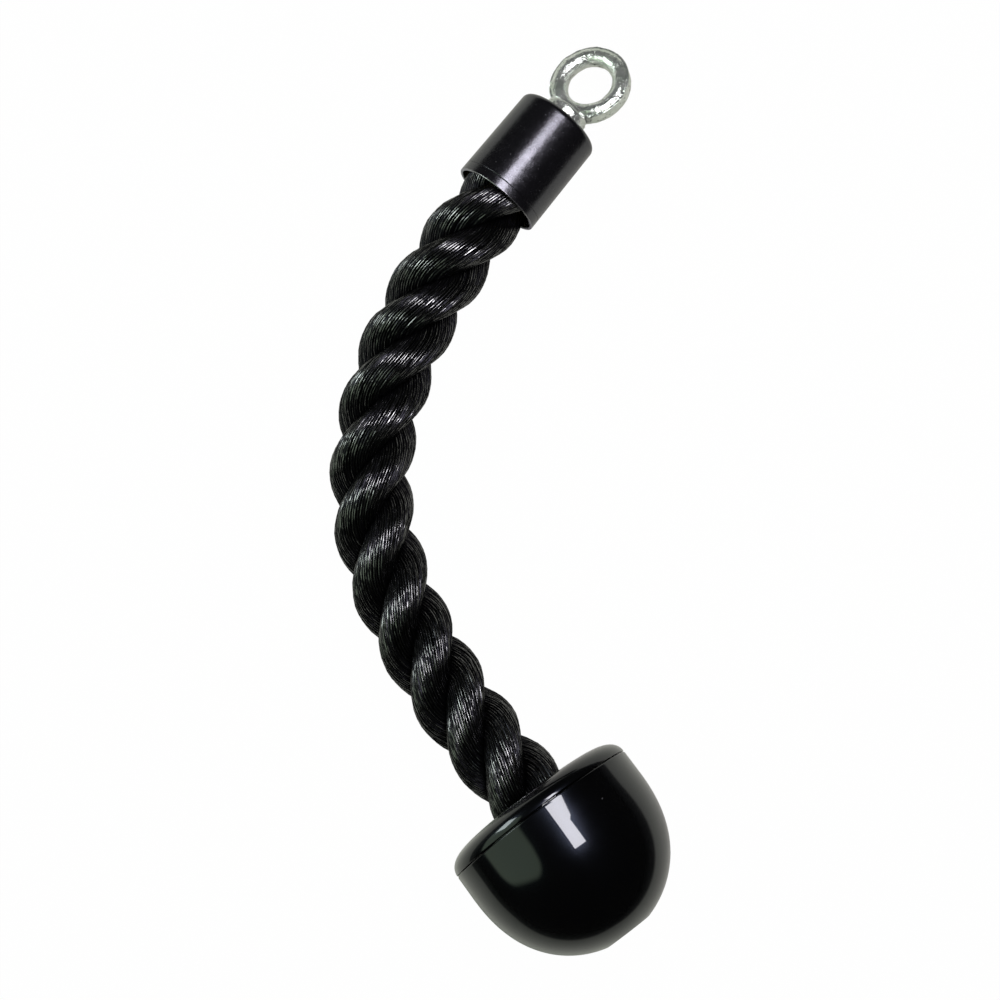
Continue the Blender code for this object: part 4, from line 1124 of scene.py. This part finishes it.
def eye_section(sizes):
    """The ring's section: round on the hole's side, with a trimmed flat band on the outer side."""
    half_width = sizes.section_width / 2
    half_height = sizes.section_height / 2
    middle = sizes.hole / 2 + half_width
    band_angle = math.asin(sizes.band_height / sizes.section_height)
    points = []
    for turn in np.linspace(band_angle, 2 * math.pi - band_angle, SECTION_STEPS):
        points.append((middle + half_width * math.cos(turn), half_height * math.sin(turn)))
    outer = sizes.hole / 2 + sizes.section_width
    return points + [(outer, -sizes.band_height / 2), (outer, sizes.band_height / 2)]


def hammer(mesh, depth):
    """Moves the mesh's points in and out along their normals, as a forging's faces are uneven."""
    moved = np.zeros(len(mesh.vertices) * 3)
    for index, vertex in enumerate(mesh.vertices):
        here = vertex.co
        swell = noise.noise(here * SWELL_CELLS) + RIPPLE_SHARE * noise.noise(here * RIPPLE_CELLS)
        dent = max(0, noise.noise(here * DENT_CELLS + DENT_SHIFT) - DENT_LEVEL)
        rise = depth * (swell - INSET_SHARE - DENT_SHARE * dent)
        moved[3 * index : 3 * index + 3] = here + vertex.normal * rise
    mesh.vertices.foreach_set("co", moved)
    mesh.update()


def forge_eye(sizes, finish, cup):
    """Ring, neck, collar and shank fused into one forging, then made uneven."""
    place = cup @ Matrix.Rotation(sizes.turn, 4, "Z")
    ring_centre = -sizes.foot - sizes.hole / 2 - sizes.section_width
    ring_place = place @ Matrix.Translation((0, 0, ring_centre)) @ Matrix.Rotation(math.pi / 2, 4, "Y")
    neck_top = -sizes.foot - sizes.section_width / 2
    top = -sizes.seat_gap - sizes.collar_thickness
    stem = rounded_outline(
        [
            (0, neck_top, 0),
            (sizes.neck / 2 + NECK_FLARE, neck_top, 0),
            (sizes.neck / 2, top, sizes.fillet),
            (sizes.collar / 2, top, sizes.collar_edge),
            (sizes.collar / 2, -sizes.seat_gap, sizes.collar_edge),
            (sizes.shank / 2, -sizes.seat_gap, 0),
            (sizes.shank / 2, sizes.shank_end, SHANK_EDGE),
            (0, sizes.shank_end, 0),
        ]
    )
    ring = turned_mesh("ring", eye_section(sizes), ring_place, RING_STEPS)
    trunk = turned_mesh("trunk", stem, place, STEM_STEPS)
    work = bmesh.new()
    work.from_mesh(ring)
    work.from_mesh(trunk)
    joined = bpy.data.meshes.new("eye_stock")
    work.to_mesh(joined)
    work.free()
    stock = add_piece("eye_stock", joined, finish)
    remesh = stock.modifiers.new("fuse", "REMESH")
    remesh.mode = "VOXEL"
    remesh.voxel_size = sizes.detail
    remesh.use_smooth_shade = True
    smooth = stock.modifiers.new("soften", "SMOOTH")
    smooth.iterations = SMOOTHING_STEPS
    mesh = settled_mesh(stock)
    mesh.name = "forged_eye"
    hammer(mesh, sizes.hammering)
    eye = add_piece("forged_eye", mesh, finish)
    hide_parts("eye_bolt")
    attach(eye, "eye")


# Ferrule

CUP_CORNER_STEPS = 10
HOLE_EDGE = 0.0002
SCORE_EDGE = 0.00008
SCORE_FLOOR_EDGE = 0.00004


def draw_ferrule(sizes, finish, cup):
    """The drawn cup, with its scored line and its worn rim."""

    def outer(height):
        return sizes.diameter / 2 + sizes.flare * height / sizes.length

    score_end = sizes.length - sizes.score_from_rim
    score_start = score_end - sizes.score_width
    score_floor = (score_start + score_end) / 2
    bore_corner = sizes.corner - sizes.wall
    corners = [
        (sizes.hole, 0, HOLE_EDGE),
        (outer(0), 0, sizes.corner),
        (outer(score_start), score_start, SCORE_EDGE),
        (outer(score_start) - sizes.score_depth, score_floor, SCORE_FLOOR_EDGE),
        (outer(score_end), score_end, SCORE_EDGE),
        (outer(sizes.length), sizes.length, sizes.rim),
        (outer(sizes.length) - sizes.wall, sizes.length, sizes.rim),
        (outer(0) - sizes.wall, sizes.wall, bore_corner),
        (sizes.hole, sizes.wall, HOLE_EDGE),
    ]
    mesh = turned_mesh("drawn_ferrule", rounded_outline(corners, CUP_CORNER_STEPS), cup, sizes.steps)
    ferrule = add_piece("drawn_ferrule", mesh, finish)
    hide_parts("ferrule_cup")
    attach(ferrule, "ferrule")


# Ball

BELLY_STEPS = 72
SEAM_SKIP = 4  # points of the dome's outline that the seam's rounded edge takes up
LIP_SKIP = 2  # points of it that the mouth's rounded edge takes up
LIP_SHARE = 0.7  # of the mouth's edge that its rounding fills
FLAT_EDGE = 0.0004
ACCESS_EDGE = 0.0002
PLUG_EDGE = 0.00025
PLUG_FOOT_EDGE = 0.0005


def dome_outline(sizes):
    """(radius, height) points of the dome from the seam to the rope's mouth."""
    powers = (sizes.dome_radial, sizes.dome_axial)
    edge = sizes.mouth + sizes.mouth_edge
    outline = full_outline(sizes.diameter / 2, sizes.dome_height, powers, edge)
    return [(r, -h) for r, h in outline]


def mould_ball(sizes, finish, plug_finish, ball):
    """The two moulded shells and the plug in the flat end."""
    radius = sizes.diameter / 2
    half_gap = sizes.seam_gap / 2
    crown = dome_outline(sizes)
    lip = crown[-1]
    spigot_inner = sizes.spigot - sizes.spigot_wall
    dome = [
        (sizes.mouth, lip[1] + 2 * sizes.mouth_edge, 0),
        (sizes.mouth, lip[1], sizes.mouth_edge * LIP_SHARE),
        *[(r, z, 0) for r, z in reversed(crown[SEAM_SKIP:-LIP_SKIP])],
        (radius, -half_gap, sizes.seam_edge),
        (sizes.spigot, -half_gap, 0),
        (sizes.spigot, sizes.spigot_depth, 0),
        (spigot_inner, sizes.spigot_depth, 0),
        (spigot_inner, -half_gap, 0),
        (sizes.mouth, -half_gap, 0),
    ]
    cut_share = (1 - (sizes.flat / 2 / radius) ** sizes.bowl_radial) ** (1 / sizes.bowl_axial)
    reach = (sizes.depth - sizes.land) / cut_share
    powers = (sizes.bowl_radial, sizes.bowl_axial)
    belly = full_outline(radius, reach, powers, sizes.flat / 2, BELLY_STEPS)
    access = sizes.plug / 2 + sizes.plug_gap
    groove = sizes.spigot + sizes.seam_gap
    bowl = [
        (radius, half_gap, sizes.seam_edge),
        (radius, sizes.land, 0),
        *[(r, sizes.land + h, 0) for r, h in belly[1:-1]],
        (sizes.flat / 2, sizes.depth, FLAT_EDGE),
        (access, sizes.depth, ACCESS_EDGE),
        (access, sizes.chamber_end, 0),
        (sizes.chamber, sizes.chamber_end, 0),
        (sizes.chamber, half_gap, 0),
        (spigot_inner - sizes.seam_gap, half_gap, 0),
        (spigot_inner - sizes.seam_gap, sizes.spigot_depth + sizes.seam_gap, 0),
        (groove, sizes.spigot_depth + sizes.seam_gap, 0),
        (groove, half_gap, 0),
    ]
    plug = [
        (0, sizes.depth - sizes.plug_thickness, 0),
        (sizes.plug / 2, sizes.depth - sizes.plug_thickness, PLUG_FOOT_EDGE),
        (sizes.plug / 2, sizes.depth, PLUG_EDGE),
        (0, sizes.depth, 0),
    ]
    for name, corners, node, given in (
        ("moulded_dome", dome, "ball_dome", finish),
        ("moulded_bowl", bowl, "ball_bowl", finish),
        ("moulded_plug", plug, "end_plug", plug_finish),
    ):
        mesh = turned_mesh(name, rounded_outline(corners), ball, sizes.steps)
        shell = add_piece(name, mesh, given)
        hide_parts(node)
        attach(shell, "ball")


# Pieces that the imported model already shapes


def finish_inner_parts(finishes, cup, ball):
    """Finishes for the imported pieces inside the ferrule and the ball, which keep their shapes."""
    cup_steel = steel_material(finishes.steel, cup)
    ball_steel = steel_material(finishes.steel, ball)
    worn = {
        "eye_washer": cup_steel,
        "eye_lock_nut": cup_steel,
        "rope_end_band": ball_steel,
        "rope_end_disc": ball_steel,
        "screw_washer": ball_steel,
        "end_screw": ball_steel,
        "lock_nut_insert": moulded_material("nylon", finishes.nylon, 0.4, 0.6, NYLON_RELIEF),
        "nut_cover": moulded_material("cover_plastic", finishes.cover, 0.38, 0.55, COVER_RELIEF),
        "ferrule_resin": moulded_material("bonding_resin", finishes.resin, 0.15, 0.4, RESIN_RELIEF),
    }
    for name, material in worn.items():
        node = frame["nodes"][name]
        node.data.materials.clear()
        node.data.materials.append(material)


# Operators


class TRICEPS_OT_set_stage(bpy.types.Operator):
    """Put the camera, the lamps and the pale floor round the part"""

    bl_idname = "triceps_rope.set_stage"
    bl_label = "Set the stage"

    def execute(self, context):
        scene = context.scene
        set_stage(scene.rope_stage, scene.rope_finishes)
        return {"FINISHED"}


class TRICEPS_OT_lay_rope(bpy.types.Operator):
    """Lay the three-strand rope between the ferrule and the ball"""

    bl_idname = "triceps_rope.lay_rope"
    bl_label = "Lay the rope"

    def execute(self, context):
        scene = context.scene
        ball_sizes = scene.ball_sizes
        lay_rope(
            scene.rope_sizes,
            scene.ferrule_sizes.length,
            dome_outline(ball_sizes)[-1][1],
            rope_material(scene.rope_finishes.rope),
            ferrule_frame(),
            ball_frame(ball_sizes.depth),
        )
        return {"FINISHED"}


class TRICEPS_OT_forge_eye(bpy.types.Operator):
    """Forge the eye bolt in one piece"""

    bl_idname = "triceps_rope.forge_eye"
    bl_label = "Forge the eye"

    def execute(self, context):
        scene = context.scene
        forge_eye(scene.eye_sizes, zinc_material(scene.rope_finishes.zinc), ferrule_frame())
        return {"FINISHED"}


class TRICEPS_OT_draw_ferrule(bpy.types.Operator):
    """Draw the blackened steel cup"""

    bl_idname = "triceps_rope.draw_ferrule"
    bl_label = "Draw the ferrule"

    def execute(self, context):
        scene = context.scene
        sizes = scene.ferrule_sizes
        cup = ferrule_frame()
        draw_ferrule(sizes, ferrule_material(scene.rope_finishes.ferrule, cup, sizes.length), cup)
        return {"FINISHED"}


class TRICEPS_OT_mould_ball(bpy.types.Operator):
    """Mould the ball's two shells and its plug"""

    bl_idname = "triceps_rope.mould_ball"
    bl_label = "Mould the ball"

    def execute(self, context):
        scene = context.scene
        sizes = scene.ball_sizes
        base = scene.rope_finishes.ball
        shells = ball_material("gloss_shell", base)
        mould_ball(sizes, shells, ball_material("gloss_plug", base), ball_frame(sizes.depth))
        return {"FINISHED"}


class TRICEPS_OT_finish_inner_parts(bpy.types.Operator):
    """Give the parts inside the ferrule and the ball their finishes"""

    bl_idname = "triceps_rope.finish_inner_parts"
    bl_label = "Finish the inner parts"

    def execute(self, context):
        scene = context.scene
        finish_inner_parts(scene.rope_finishes, ferrule_frame(), ball_frame(scene.ball_sizes.depth))
        return {"FINISHED"}


class VIEW3D_PT_triceps_rope(bpy.types.Panel):
    """Lists what makes the part, with its sizes"""

    bl_label = "Triceps rope"
    bl_idname = "VIEW3D_PT_triceps_rope"
    bl_space_type = "VIEW_3D"
    bl_region_type = "UI"
    bl_category = "Rope"

    def draw(self, context):
        for operator, group in STEPS:
            column = self.layout.column()
            column.operator(operator.bl_idname)
            settings = getattr(context.scene, group)
            for setting in settings.__annotations__:
                column.prop(settings, setting)


STEPS = (
    (TRICEPS_OT_set_stage, "rope_stage"),
    (TRICEPS_OT_lay_rope, "rope_sizes"),
    (TRICEPS_OT_forge_eye, "eye_sizes"),
    (TRICEPS_OT_draw_ferrule, "ferrule_sizes"),
    (TRICEPS_OT_mould_ball, "ball_sizes"),
    (TRICEPS_OT_finish_inner_parts, "rope_finishes"),
)
CLASSES = (*SETTINGS.values(), *[operator for operator, _ in STEPS], VIEW3D_PT_triceps_rope)


def register():
    for each in CLASSES:
        bpy.utils.register_class(each)
    for name, group in SETTINGS.items():
        setattr(bpy.types.Scene, name, PointerProperty(type=group))


def unregister():
    for name in SETTINGS:
        delattr(bpy.types.Scene, name)
    for each in reversed(CLASSES):
        bpy.utils.unregister_class(each)


def main():
    register()
    for operator, _ in STEPS:
        family, name = operator.bl_idname.split(".")
        getattr(getattr(bpy.ops, family), name)()


if __name__ == "__main__":
    main()
